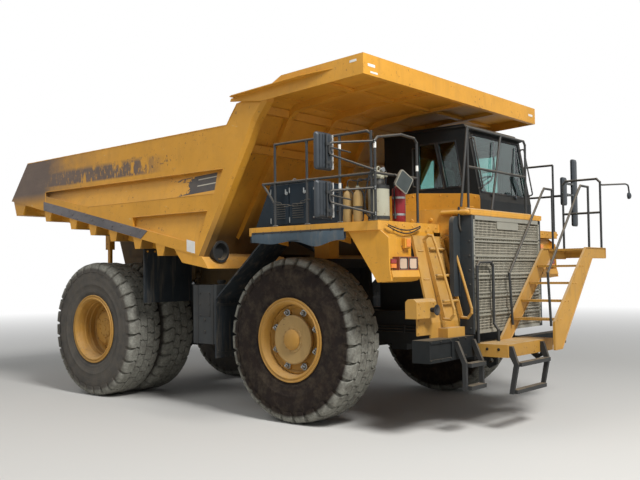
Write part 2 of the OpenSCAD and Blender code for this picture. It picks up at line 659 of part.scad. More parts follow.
module extinguisher() color("#a01c2c") {
    translate([1700, -1900, deck_z + seat_gap]) cylinder(r = 95, h = 540, $fn = 40);
    translate([1700, -1900, deck_z + 540]) cylinder(r = 30, h = 110, $fn = 32);
}

module side_tanks() color("#2d3538") {
    // Hydraulic tank on the right, fuel tank on the left
    block([-2280, -2300, 1106], [-1700, -rail_y - 60, 2090]);
    block([-3090, rail_y + 60, 1000], [-1750, 1950, 1950]);
    for (x = [-2150, -1850]) {
        block([x - 40, -rail_y - 61, 1200], [x + 40, -rail_y - 0.2, 1400]);
        block([x - 40, rail_y + 0.2, 1200], [x + 40, rail_y + 61, 1400]);
    }
}

// Guards behind the front wheels: a raked sheet under the deck and a hanging flap. A rubber strip
// hangs along the deck's edge over the wheel
module mudguards() color("#3f464a") pair() {
    block([deck_rear + 20, -deck_y + 5, deck_z - deck_t - 100], [1340, -deck_y + 20, deck_z - deck_t - seat_gap]);
    side_plate([[deck_rear, deck_z - deck_t - seat_gap], [deck_rear + 40, deck_z - deck_t - seat_gap],
        [-1660, 1850], [-1660, 885], [-1690, 885], [-1690, 1860]], -2350, -1700);
}

// Rear axle: banjo, tube ends that carry the hubs, and the torque tube to its ball
axle_end = rear_track - twin_pitch + 340;
module rear_axle() color("#23282b") {
        translate([rear_x, 0, axle_z]) {
            rotate([90, 0, 0]) cylinder(r = axle_r, h = 2 * axle_end, center = true, $fn = 60);
            sphere(r = 470, $fn = 48);
            rotate([0, 90, 0]) cylinder(r = 240, h = torque_x - rear_x - 60, $fn = 40);
            rotate([0, 90, 0]) cylinder(r = 110, h = torque_x - rear_x - seat_gap, $fn = 40);
        }
    // Rear suspension brackets
        pair() side_plate([[susp_x - 130, axle_z + 60], [susp_x + 130, axle_z + 60],
            [rear_x + 100, axle_z + 250], [rear_x + 100, axle_z - 200], [susp_x - 60, axle_z - 60]],
            hoist_y - 90, hoist_y + 90);
}

// Rods of the front struts, and the rear suspension cylinders
susp_x = rear_x - 400;
susp_top = rail_top + rear_rise - 110;
module struts() pair() {
    translate([0, kingpin_y, 1900]) cylinder(r = 80, h = strut_top - seat_gap - 1900, $fn = 40);
    translate([susp_x, hoist_y, axle_z + 60 + seat_gap])
        cylinder(r = 105, h = susp_top - axle_z - 60 - 2 * seat_gap, $fn = 40);
}

module suspension() color("#31373a") {
    struts();
    lower_arms();
}

// Lower arms from the frame to the kingpins
module lower_arms() pair() {
    translate([0, 0, arm_top - arm_t]) linear_extrude(arm_t) polygon([[-160, rail_y - 100],
        [160, rail_y - 100], [160, 1100], [90, kingpin_y], [-90, kingpin_y], [-160, 1100]]);
    translate([0, kingpin_y, arm_top - arm_t]) cylinder(r = 118, h = arm_t, $fn = 48);
    block([-160, rail_y - 100, arm_top - e], [160, rail_y - 20, rail_z - seat_gap]);
    // Ball stud under the kingpin
    translate([0, kingpin_y, arm_top - e]) cylinder(r = ball_r, h = 120, $fn = 40);
}

// STEERED PARTS

knuckle_z = arm_top + 10;
steer_arm = 500;
steer_arm_t = 60;
eye_pin_r = 34;
module knuckle_right() color("#2b3033") difference() {
    union() {
        translate([0, -kingpin_y, knuckle_z]) cylinder(r = 140, h = strut_top - 170 - knuckle_z, $fn = 48);
        translate([0, 0, axle_z]) {
            disc(360, -kingpin_y - 290, -kingpin_y - 130);
            disc(spindle_r, -front_track - hub_out + 30, -kingpin_y);
        }
        // Steering arm with its eye
        block([-steer_arm, -kingpin_y - 60, knuckle_z], [-100, -kingpin_y + 60, knuckle_z + steer_arm_t]);
        translate([-steer_arm, -kingpin_y, knuckle_z]) cylinder(r = 75, h = steer_arm_t, $fn = 40);
    }
    // Socket of the ball stud, bore of the strut rod, eye of the tie rod
    translate([0, -kingpin_y, knuckle_z - e]) cylinder(r = ball_r + run_fit, h = 130, $fn = 40);
    translate([0, -kingpin_y, 1890]) cylinder(r = 80 + run_fit, h = 600, $fn = 40);
    translate([-steer_arm, -kingpin_y, knuckle_z - e])
        cylinder(r = eye_pin_r + run_fit, h = steer_arm_t + 2 * e, $fn = 40);
}
module knuckle_left() mirror([0, 1, 0]) knuckle_right();

module tie_rod() color("#2b3033") {
    z = knuckle_z - 55;
    bar([-steer_arm, -kingpin_y, z], [-steer_arm, kingpin_y, z], 38);
    for (s = [-1, 1]) translate([-steer_arm, s * kingpin_y, z - 45]) {
        cylinder(r = 60, h = 95, $fn = 40);
        cylinder(r = eye_pin_r, h = 45 + 55 + steer_arm_t + 10, $fn = 40);
    }
}

// DUMP BED

slope_t = tan(floor_slope);
// Height of the side's lower edge at x
tail_z = 3854;
function edge_z(x) = tail_z + (tail_x - x) * slope_t;
inner_y = bed_y - rail_out;
// Straight front edge of the corner posts, from foot to head
post_foot_x = -1718;
post_a = [post_foot_x, edge_z(post_foot_x)];
post_b = [-650, 4311];
post_lean = (post_b[0] - post_a[0]) / (post_b[1] - post_a[1]);
post_w = 193;
chamfer = 55;
// Neck that rises from the side walls to the canopy
neck_x = -849;
neck_z = head_z + 50;
rail_end_x = -1094;
front_rise = 50;
side_outline = [[tail_x, edge_z(tail_x)], post_a, post_b, [-480, 4640], [head_x, canopy_z(head_x)],
    [head_x + 40, sheet_z(head_x + 40) - seat_gap], [canopy_rear, sheet_z(canopy_rear) - seat_gap],
    [neck_x, neck_z], [rail_end_x, bed_top + front_rise], [tail_x + 624, bed_top]];
// The front wall stands behind the posts' front edge, and its ribs stand out from it
wall_back = 340;
function wall_x(z) = post_b[0] - wall_back + (z - post_b[1]) * post_lean;
wall_foot_x = -2020;
bed_rib_w = 112;
rib_rows = [550, 1640];

// Floor, front wall and side walls round the load space
module bed_shell() color("#dd9a20") {
    for (y = [-inner_y, inner_y - wall_t]) side_plate(side_outline, y, y + wall_t);
    side_plate([[tail_x, edge_z(tail_x)], [tail_x, edge_z(tail_x) + 40], [wall_foot_x, edge_z(wall_foot_x) + 40],
        [wall_foot_x, edge_z(wall_foot_x)]], -inner_y + 1, inner_y - 1);
    // Front wall: straight, then curved forwards to the canopy's sheet
    side_plate([[wall_foot_x, edge_z(wall_foot_x)], [wall_x(4340), 4340], [-790, 4650], [-700, 4800],
        [-590, 4930], [-440, 5010], [canopy_rear - seat_gap, 5036], [canopy_rear - seat_gap, 5056],
        [-460, 5036], [-620, 4955], [-734, 4815], [-824, 4662], [wall_x(4340) - 34, 4340],
        [wall_foot_x - 40, edge_z(wall_foot_x - 40)]], -inner_y + 1, inner_y - 1);
    front_wall_ribs();
    pair() corner_post_inside();
}

// Box ribs up the front wall, and the two cross ribs between them
module front_wall_ribs() {
    for (y = rib_rows) pair()
        side_plate([[wall_x(2900) - e, 2900], [wall_x(2900) + 60, 2860], [wall_x(3000) + 110, 3000],
            [wall_x(4340) + 110, 4340], [-680, 4650], [-600, 4800], [-480, 4900], [canopy_rear - seat_gap, 4940],
            [canopy_rear - seat_gap, 5040], [-440, 5020], [-600, 4935], [-710, 4805], [-800, 4660],
            [wall_x(4340) - 10, 4340]], y - bed_rib_w / 2, y + bed_rib_w / 2);
    for (p = [[4290, 75], [4870, 60]])
        side_plate([[cross_x(p[0]) - 20, p[0] - 60], [cross_x(p[0]) + p[1], p[0] - 60],
            [cross_x(p[0]) + p[1] + 30, p[0] + 60], [cross_x(p[0]) + 20, p[0] + 60]], -inner_y + 1, inner_y - 1);
}
// Face of the front wall at the cross ribs, where its upper part is curved
function cross_x(z) = z > 4600 ? -650 : wall_x(z);

// Inner half of each corner post, ahead of the front wall
module corner_post_inside()
    difference() {
        side_plate([[wall_foot_x - 20, edge_z(wall_foot_x - 20)], post_a, post_b, [-480, 4640], [head_x, canopy_z(head_x)],
            [head_x + 40, sheet_z(head_x + 40) - seat_gap], [canopy_rear + 10, sheet_z(canopy_rear + 10) - seat_gap],
            [-440, 5015], [-710, 4800], [wall_x(4340) - 15, 4340]], bed_y - post_w, inner_y - 1);
        // Round duct opening at the foot, where the exhaust warms the bed
        translate([-1640, bed_y - 330, 2640]) rotate([0, 90, 0]) cylinder(r = 170, h = 600, center = true, $fn = 40);
    }

// Stiffened outer side: a full plate with its chamfered front edge, and two sunk panels that come
// flush again at their lower edges
band_x = tail_x + 1313;
ledge_z = 3950;
ledge_x = -1178;
crease_z = 3570;
crease_x = -4897;
mid_z = 3297;
sunk = 12;
function sill_z(x) = edge_z(x) + 185;
module bed_ribs() color("#dd9a20") pair() {
    y0 = inner_y + seat_gap;
    difference() {
        side_plate(side_outline, y0, bed_y);
        // Upper sunk panel, under the top band's ledge
        intersection() {
            side_plate([[band_x, ledge_z], [band_x, sill_z(band_x) + 112], [crease_x, crease_z],
                [ledge_x - 215, crease_z], [ledge_x, ledge_z]], y0 - e, bed_y + e);
            cross_plate([[y0 + sunk, ledge_z + e], [y0 + sunk, ledge_z], [bed_y, crease_z],
                [bed_y + 5, crease_z], [bed_y + 5, ledge_z + e]], band_x - e, ledge_x + e);
        }
        // Lower sunk panel, under the mid rail
        intersection() {
            side_plate([[-3524, mid_z], [-3524, sill_z(-3524)], [-1806, sill_z(-1806)], [-1558, mid_z]],
                y0 - e, bed_y + e);
            cross_plate([[y0 + sunk, mid_z + e], [y0 + sunk, mid_z], [bed_y, sill_z(-1806)],
                [bed_y + 5, sill_z(-1806)], [bed_y + 5, mid_z + e]], -3525, -1557);
        }
        // Chamfer down the front edge
        for (k = [[post_a, post_b], [post_b, [-480, 4640]], [[-480, 4640], [head_x, canopy_z(head_x)]]]) {
            d = k[1] - k[0];
            translate([k[0][0], bed_y, k[0][1]]) rotate([0, atan2(d[0], d[1]), 0]) rotate([0, 0, 45])
                translate([-chamfer / sqrt(2), -200, -40]) cube([400, 400, norm(d) + 80]);
        }
    }
    // Bare wear plate along the sill, over the rear tyres
    side_plate([[band_x - 60, sill_z(band_x - 60) - 4], [-3103, sill_z(-3103) - 4], [-3289, edge_z(-3289) + 6],
        [band_x - 60, edge_z(band_x - 60) + 6]], bed_y - e, bed_y + 8);
}

// Frame under the bed: two beams over the rails, cross bolsters, pivot ears and hoist brackets
beam_z = rail_top + pad_h + seat_gap;
// Cross bolsters as [x of the middle, half width below, half width above, depth]
bolsters = [[-7360, 120, 230, 250], [-6284, 70, 130, 190], [-5397, 70, 130, 190], [-4752, 70, 130, 190],
    [-4118, 70, 130, 190], [-3400, 70, 130, 190], [-2770, 70, 130, 190]];
module bed_underframe() color("#c98a22") {
    pair() {
        side_plate([[wall_foot_x, edge_z(wall_foot_x) - seat_gap], [wall_foot_x + 60, 2350], [-1960, 1900],
            [-2060, beam_z], [rise_x + 20, beam_z], [rise_x - 790, beam_z + rear_rise],
            [pivot_x + 500, beam_z + rear_rise], [pivot_x + 300, pivot_z + 190], [pivot_x - 280, pivot_z + 190],
            [pivot_x - 850, edge_z(pivot_x - 850) - seat_gap]], rail_in, rail_y);
        // Ear outside the frame rail and the pivot pin through it
        side_plate([[pivot_x - 150, pivot_z], [pivot_x + 150, pivot_z], [pivot_x + 320, pivot_z + 700],
            [pivot_x - 260, pivot_z + 700]], rail_y + 8, rail_y + 78);
        translate([pivot_x, rail_y + 78, pivot_z]) rotate([90, 0, 0]) cylinder(r = 150, h = 70, $fn = 48);
        block([pivot_x - 200, rail_y - 20, pivot_z + 200], [pivot_x + 240, rail_y + 20, pivot_z + 660]);
        disc_at([pivot_x, 0, pivot_z], pin_r, rail_in - 10, rail_y + 90);
        // Hoist bracket: two ears round the rod's eye
        for (y = [hoist_y - 90, hoist_y + 61]) {
            side_plate([[hoist_eye[0] - 90, hoist_eye[2]], [hoist_eye[0] + 90, hoist_eye[2]],
                [hoist_eye[0] + 150, 2740], [hoist_eye[0] - 150, 2740]], y, y + 29);
            translate([hoist_eye[0], y + 29, hoist_eye[2]]) rotate([90, 0, 0]) cylinder(r = 90, h = 29, $fn = 40);
        }
        block([hoist_eye[0] - 100, rail_y - e, hoist_eye[2] + 220], [hoist_eye[0] + 100, hoist_y + 90,
            hoist_eye[2] + 300]);
        cross_plate([[rail_y - e, hoist_eye[2] + 221], [rail_y - e, 2739], [hoist_y + 89, 2739],
            [hoist_y + 89, hoist_eye[2] + 221]], hoist_eye[0] - 20, hoist_eye[0] + 20);
    }
    // Middle length of each bolster, between the beams
    for (i = [1 : len(bolsters) - 1]) bolster(bolsters[i], -rail_in - e, rail_in + e);
}

// One bolster under the floor, from y = a to y = b
module bolster(p, a, b) {
    low = edge_z(p[0]) - seat_gap - p[3];
    side_plate([[p[0] - p[2], edge_z(p[0] - p[2]) - seat_gap], [p[0] - p[1], low], [p[0] + p[1], low],
        [p[0] + p[2], edge_z(p[0] + p[2]) - seat_gap]], a, b);
}

// The tail bolster right across, the others' outer lengths from the beams to the sills with a web
// behind their ends, and the box across the foot of the front wall
sill_web_y = 2330;
nose_low = 2360;
module bed_bolsters() color("#c98a22") {
    bolster(bolsters[0], -bed_y + 8, bed_y - 8);
    pair() {
        for (i = [1 : len(bolsters) - 1]) bolster(bolsters[i], rail_y + seat_gap, bed_y - 8);
        side_plate([[tail_x + 100, edge_z(tail_x + 100) - seat_gap], [bolsters[0][0], edge_z(bolsters[0][0]) - 150],
            [-2300, edge_z(-2300) - 150], [-2100, edge_z(-2100) - seat_gap]], sill_web_y, sill_web_y + 16);
        side_plate([[-2400, edge_z(-2400) - seat_gap], [-2200, 2470], [-1560, nose_low], [post_foot_x + 60, post_a[1] - 60],
            [post_foot_x - seat_gap, post_a[1] - seat_gap]], rail_y + seat_gap, bed_y - 8);
    }
}

// Canopy over the cab: sheet with its ribs, front fascia, side boards that run back over the neck, and
// a flange along each side
module canopy() color("#e0a020") {
    top_z = canopy_z(canopy_x) + board_h;
    side_plate([[canopy_rear, sheet_z(canopy_rear)], [canopy_x, sheet_z(canopy_x)],
        [canopy_x, sheet_z(canopy_x) + 12], [canopy_rear, sheet_z(canopy_rear) + 12]], -canopy_y, canopy_y);
    block([canopy_x - 20, -canopy_y, canopy_z(canopy_x)], [canopy_x, canopy_y, top_z]);
    // Lip along the fascia's lower edge
    block([canopy_x - 90, -canopy_y, canopy_z(canopy_x)], [canopy_x, canopy_y, canopy_z(canopy_x) + 12]);
    for (y = rib_rows) pair()
        side_plate([[canopy_rear, 4940], [-100, 4952], [50, 4962], [300, canopy_z(300) + rib_up],
            [canopy_x - e, canopy_z(canopy_x) + rib_up], [canopy_x - e, sheet_z(canopy_x) + e],
            [canopy_rear, sheet_z(canopy_rear) + e]], y - bed_rib_w / 2, y + bed_rib_w / 2);
    // Cross rib near the middle of the sheet
    block([650, -canopy_y + e, sheet_z(650) - 45], [760, canopy_y - e, sheet_z(650) + e]);
    pair() {
        side_plate([[neck_x - 110, neck_z + 34], [head_x, canopy_z(head_x)], [canopy_x, canopy_z(canopy_x)],
            [canopy_x, top_z], [141, top_z - 64], [-97, top_z - 178], [neck_x - 90, neck_z + 80]],
            canopy_y - 20, canopy_y);
        translate([neck_x - 50, 0, neck_z + 90]) rotate([0, -3.1, 0]) linear_extrude(10)
            polygon([[0, canopy_y - 19], [0, canopy_y + 70], [70, canopy_y + 100], [1520, canopy_y + 100],
                [2060, canopy_y - 1], [2060, canopy_y - 19]]);
    }
}

// Bars that hang between the twin tyres and knock stones out
module rock_bars() color("#c98a22") pair() {
    y = rear_track - twin_pitch / 2;
    x = bolsters[2][0];
    top = edge_z(x) - bolsters[2][3] - 2 * seat_gap;
    block([x - 40, y - 28, 2000], [x + 40, y + 28, top]);
    block([x - 70, y - 60, 2780], [x + 70, y + 60, top]);
}

// Rubber sheets that hang from the bed before the rear tyres
module bed_flaps() color("#1b2a30") pair()
    block([bolsters[5][0] + 20, 1400, 1776], [bolsters[5][0] + 45, 2500,
        edge_z(bolsters[5][0]) - bolsters[5][3] - 2 * seat_gap]);

// HOIST: two telescopic cylinders between the frame and the bed's underside
hoist_foot = [pivot_x + 1900, hoist_y, 950];
hoist_eye = [pivot_x + 2150, hoist_y, 2250];
hoist_d = hoist_eye - hoist_foot;
hoist_len = norm(hoist_d);
eye_t = 110;
barrel_r = 130;
stage_r = 104;
rod_r = 80;
slide_fit = 0.3;
// Places along the cylinder, counted from the foot pin
barrel_len = 1150;
stage_len = 1010;

// Children stand on the foot pin's axis, with +Z along the cylinder
module on_hoist() pair() translate([hoist_foot[0], hoist_y, hoist_foot[2]])
    rotate([0, atan2(hoist_d[0], hoist_d[2]), 0]) children();

module hoist_barrels() color("#33393c") on_hoist() difference() {
    union() {
        translate([0, 0, 130]) cylinder(r = barrel_r, h = barrel_len - 130, $fn = 48);
        block([-90, -58, 0], [90, 58, 131]);
        disc(110, -60, 60);
        translate([0, 0, barrel_len - 70]) cylinder(r = barrel_r + 14, h = 70, $fn = 48);
    }
    disc(hoist_pin_r + run_fit, -61, 61);
    translate([0, 0, 150]) cylinder(r = stage_r + slide_fit, h = barrel_len, $fn = 48);
}
module hoist_stages() color("#6a7073") on_hoist() difference() {
    translate([0, 0, 155]) cylinder(r = stage_r, h = stage_len + 5, $fn = 48);
    translate([0, 0, 175]) cylinder(r = rod_r + slide_fit, h = stage_len + 60, $fn = 48);
}
module hoist_rods() color("#9aa0a2") on_hoist() {
    translate([0, 0, 180]) cylinder(r = rod_r, h = hoist_len - 180 - 135, $fn = 48);
    block([-62, -eye_t / 2 + 2, hoist_len - 136], [62, eye_t / 2 - 2, hoist_len]);
    translate([0, 0, hoist_len]) {
        disc(92, -eye_t / 2, eye_t / 2);
        disc(50, -eye_t / 2 - 4, eye_t / 2 + 4);
    }
}

module at_front(s) translate([0, s * front_track, axle_z]) children();

module tyre_front_right() color("#2e2b29") at_front(-1) tyre();
module rim_front_right() color("#d79a2a") at_front(-1) front_rim();
module tyre_front_left() mirror([0, 1, 0]) tyre_front_right();
module rim_front_left() mirror([0, 1, 0]) rim_front_right();
module tyres_rear_right() color("#2e2b29") for (y = [0, twin_pitch])
    translate([rear_x, -rear_track + y, axle_z]) tyre();
module rims_rear_right() color("#d79a2a") translate([rear_x, -rear_track, axle_z]) rear_rims();
module tyres_rear_left() mirror([0, 1, 0]) tyres_rear_right();
module rims_rear_left() mirror([0, 1, 0]) rims_rear_right();

translate([-origin_x, 0, 0]) {
    main_frame();
    engine_and_radiator();
    front_bumper();
    grille();
    hood();
    decks();
    front_platform();
    stairs();
    hanging_steps();
    ladder_right();
    wing_panels();
    lamps();
    cab_shell();
    cab_glass();
    cab_seat_and_wheel();
    cab_door();
    door_glass();
    handrails_deck();
    handrails_front();
    mirrors();
    side_cabinet();
    suppression_tank();
    extinguisher();
    side_tanks();
    mudguards();
    rear_axle();
    suspension();
    bed_shell();
    bed_ribs();
    bed_underframe();
    bed_bolsters();
    canopy();
    rock_bars();
    bed_flaps();
    knuckle_right();
    knuckle_left();
    tie_rod();
    tyre_front_right();
    rim_front_right();
    tyre_front_left();
    rim_front_left();
    tyres_rear_right();
    rims_rear_right();
    tyres_rear_left();
    rims_rear_left();
    hoist_barrels();
    hoist_stages();
    hoist_rods();
}
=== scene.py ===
import json
import math
import random
from functools import partial

import bmesh
import bpy
from bpy.props import FloatProperty, FloatVectorProperty, IntProperty, PointerProperty
from mathutils import Matrix, Vector


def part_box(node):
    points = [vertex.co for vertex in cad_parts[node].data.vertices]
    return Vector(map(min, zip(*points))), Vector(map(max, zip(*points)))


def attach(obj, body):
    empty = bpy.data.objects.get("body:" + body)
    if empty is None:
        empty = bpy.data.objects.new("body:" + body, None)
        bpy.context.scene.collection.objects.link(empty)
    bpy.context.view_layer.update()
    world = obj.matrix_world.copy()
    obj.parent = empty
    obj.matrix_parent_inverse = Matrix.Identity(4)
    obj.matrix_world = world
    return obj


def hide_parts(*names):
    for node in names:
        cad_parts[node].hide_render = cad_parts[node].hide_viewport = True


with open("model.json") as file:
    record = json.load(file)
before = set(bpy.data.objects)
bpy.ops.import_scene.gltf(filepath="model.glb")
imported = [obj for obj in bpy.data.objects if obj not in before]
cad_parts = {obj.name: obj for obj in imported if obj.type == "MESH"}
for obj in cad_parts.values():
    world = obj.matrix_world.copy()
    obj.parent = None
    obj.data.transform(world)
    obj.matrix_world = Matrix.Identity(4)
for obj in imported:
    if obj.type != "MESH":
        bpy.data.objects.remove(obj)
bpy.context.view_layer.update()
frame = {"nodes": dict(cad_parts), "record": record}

bl_info = {
    "name": "Mining dump truck dressing",
    "version": (1, 0, 0),
    "blender": (4, 5, 0),
    "location": "View3D > Sidebar > Dump Truck",
    "description": "Dresses the packed frame of a mining dump truck with its finishes and fine pieces",
    "category": "Object",
}

# Reference places of the truck, in metres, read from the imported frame
FRONT_LO, FRONT_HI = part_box("rim_front_right")
AXLE_X = (FRONT_LO.x + FRONT_HI.x) / 2
AXLE_Z = (FRONT_LO.z + FRONT_HI.z) / 2
REAR_LO, REAR_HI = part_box("tyres_rear_right")
REAR_X = (REAR_LO.x + REAR_HI.x) / 2
TYRE_LO, TYRE_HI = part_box("tyre_front_right")
TYRE_W = TYRE_HI.y - TYRE_LO.y
# Middles of the tyres, in millimetres from the front axle's middle on the ground
HUB_Z = AXLE_Z * 1000
REAR_HUB_X = (REAR_X - AXLE_X) * 1000
FRONT_TYRE_Y = -(TYRE_LO.y + TYRE_HI.y) * 500
OUTER_TYRE_Y = -(REAR_LO.y + TYRE_W / 2) * 1000
INNER_TYRE_Y = -(REAR_HI.y - TYRE_W / 2) * 1000
X, Y, Z = Vector((1, 0, 0)), Vector((0, 1, 0)), Vector((0, 0, 1))


def linear(text):
    """Turns an sRGB hex colour, such as "#e8a92c", into Blender's linear red, green and blue."""
    out = []
    for i in (1, 3, 5):
        c = int(text[i:i + 2], 16) / 255
        out.append(c / 12.92 if c <= 0.04045 else ((c + 0.055) / 1.055) ** 2.4)
    return tuple(out)


# Settings that a user would change

class TruckColours(bpy.types.PropertyGroup):
    enamel: FloatVectorProperty(name="Machine enamel",
                                description="Yellow enamel of the bed, decks and stairs", subtype="COLOR",
                                size=3, min=0, max=1, default=linear("#d99a29"))
    rim: FloatVectorProperty(name="Rim enamel", description="Yellow enamel of the wheel rims",
                             subtype="COLOR", size=3, min=0, max=1, default=linear("#b5842f"))
    chassis: FloatVectorProperty(name="Chassis enamel", description="Black enamel of the frame and axles",
                                 subtype="COLOR", size=3, min=0, max=1, default=linear("#25282a"))
    dust: FloatVectorProperty(name="Quarry dust", description="Pale dust that lies on everything",
                              subtype="COLOR", size=3, min=0, max=1, default=linear("#b3a083"))
    rubber: FloatVectorProperty(name="Tyre rubber", description="Weathered rubber of the tyres",
                                subtype="COLOR", size=3, min=0, max=1, default=linear("#262120"))
    steel: FloatVectorProperty(name="Worn steel",
                               description="Bare, scoured plate of the bed's tail and inside",
                               subtype="COLOR", size=3, min=0, max=1, default=linear("#5f4d42"))
    floor: FloatVectorProperty(name="Floor", description="Pale studio floor",
                               subtype="COLOR", size=3, min=0, max=1, default=linear("#d3d1cc"))


class TruckSizes(bpy.types.PropertyGroup):
    bolt: FloatProperty(name="Wheel nut", description="Width across the flats of the wheel nuts",
                        default=0.034, min=0.02, max=0.05, unit="LENGTH")
    mesh: FloatProperty(name="Grille mesh", description="Pitch of the square wire mesh of the radiator guard",
                        default=0.039, min=0.02, max=0.06, unit="LENGTH")
    grating: IntProperty(name="Tread bars", description="Cross bars of one perforated stair tread",
                         default=15, min=6, max=30)


# Materials

def fill(node, *values, **settings):
    """Fills a node's inputs in order, then its attributes or inputs by name, with values or other outputs."""
    rows = list(enumerate(values))
    for key, value in settings.items():
        if hasattr(node, key):
            setattr(node, key, value)
        else:
            rows.append((key.replace("_", " "), value))
    for key, value in rows:
        socket = node.inputs[key]
        if isinstance(value, bpy.types.NodeSocket):
            node.id_data.links.new(value, socket)
        else:
            socket.default_value = (*value, 1) if socket.type == "RGBA" else value


def add_node(tree, kind, *values, out=0, **settings):
    """Adds one shader node with its settings and links, and gives back one of its outputs, if it has any."""
    node = tree.nodes.new("ShaderNode" + kind)
    fill(node, *values, **settings)
    return None if out is None else node.outputs[out]


def new_material(name, **sockets):
    """A material with its Principled shader, the adder of nodes to its tree, and coordinates in metres
    that stay with the piece."""
    material = bpy.data.materials.new(name)
    material.use_nodes = True
    shader = material.node_tree.nodes["Principled BSDF"]
    fill(shader, **sockets)
    node = partial(add_node, material.node_tree)
    return material, shader, node, node("TexCoord", out="Object")


def tone(colour, share, lift=0.0):
    """A colour made deeper or paler by a share, then lifted a little."""
    return tuple(min(1, c * share + lift) for c in colour)


def within(node, source, low, full, fade, high, share=1.0):
    """A mask that rises while its source goes from low to full, and falls again from fade to high."""
    return node("MapRange", source, low, full, 0.0, node("MapRange", source, fade, high, share, 0.0))


def settle_dust(node, where, body, dust, roughness, amount, film):
    """Dust over a finish, thick on faces that look up: it pales the colour and dulls the gloss."""
    up = node("SeparateXYZ", node("NewGeometry", out="Normal"), out="Z")
    # Soft drifts of 100 to 300 mm
    drift = node("MapRange", node("TexNoise", where, Scale=5, Detail=6, Roughness=0.6), 0.3, 0.75, 0.35, 1.25)
    share = node("Math", node("MapRange", up, 0.05, 0.95, film, amount), drift, operation="MULTIPLY")
    return node("MixRGB", share, body, dust), node("MapRange", share, 0.0, 0.5, roughness, 0.85)


def dusty_enamel(name, colour, dust, roughness, amount, chips=None, grime=0.2, film=0.03, gloss=0.25,
                 coat=0.0):
    """Alkyd enamel sprayed on steel plate."""
    # Sprayed enamel looks satin with a fine orange peel. Sun and rain have faded and streaked it
    material, shader, node, where = new_material(name, IOR=1.5, Specular_IOR_Level=gloss, Coat_Weight=coat,
                                                 Coat_Roughness=0.3)
    # Sun-faded patches about 1.5 m across, and a finer mottle of 150 mm
    fade = node("MapRange", node("TexNoise", where, Scale=0.7, Detail=3, Roughness=0.6), 0.34, 0.66)
    body = node("MixRGB", fade, tone(colour, 0.88), tone(colour, 1.10, 0.010))
    mottle = node("TexNoise", where, Scale=7, Detail=6, Roughness=0.7)
    body = node("MixRGB", node("MapRange", mottle, 0.45, 0.8, 0.0, 0.5), body, tone(colour, 0.80))
    # Grime that rain has drawn down the faces in bands 100 to 200 mm wide
    drawn = node("TexNoise", node("Mapping", where, Scale=(6, 6, 0.7)), Scale=1, Detail=5, Roughness=0.7)
    patch = node("TexNoise", where, Scale=1.3, Detail=3, Roughness=0.6)
    run = node("MapRange", drawn, 0.52, 0.8, 0.0, node("MapRange", patch, 0.4, 0.6, 0.0, grime))
    body = node("MixRGB", run, body, tone(colour, 0.38, 0.012))
    if chips:
        # Chips down to primer and rust, 5 to 40 mm wide, in scattered groups
        group = node("MapRange", node("TexNoise", where, Scale=1.6, Detail=3, Roughness=0.6), 0.50, 0.62)
        chip = node("TexNoise", where, Scale=22, Detail=5, Roughness=0.7)
        body = node("MixRGB", node("MapRange", chip, 0.60, 0.65, 0.0, group), body, chips)
    body, dull = settle_dust(node, where, body, dust, roughness, amount, film)
    # Orange peel of the sprayed film, drawn at 9 mm so that it shows
    peel = node("Bump", Strength=0.05, Distance=0.002, Height=node("TexNoise", where, Scale=110, Detail=2,
                                                                    Roughness=0.6))
    fill(shader, Base_Color=body, Roughness=dull, Normal=peel)
    return material


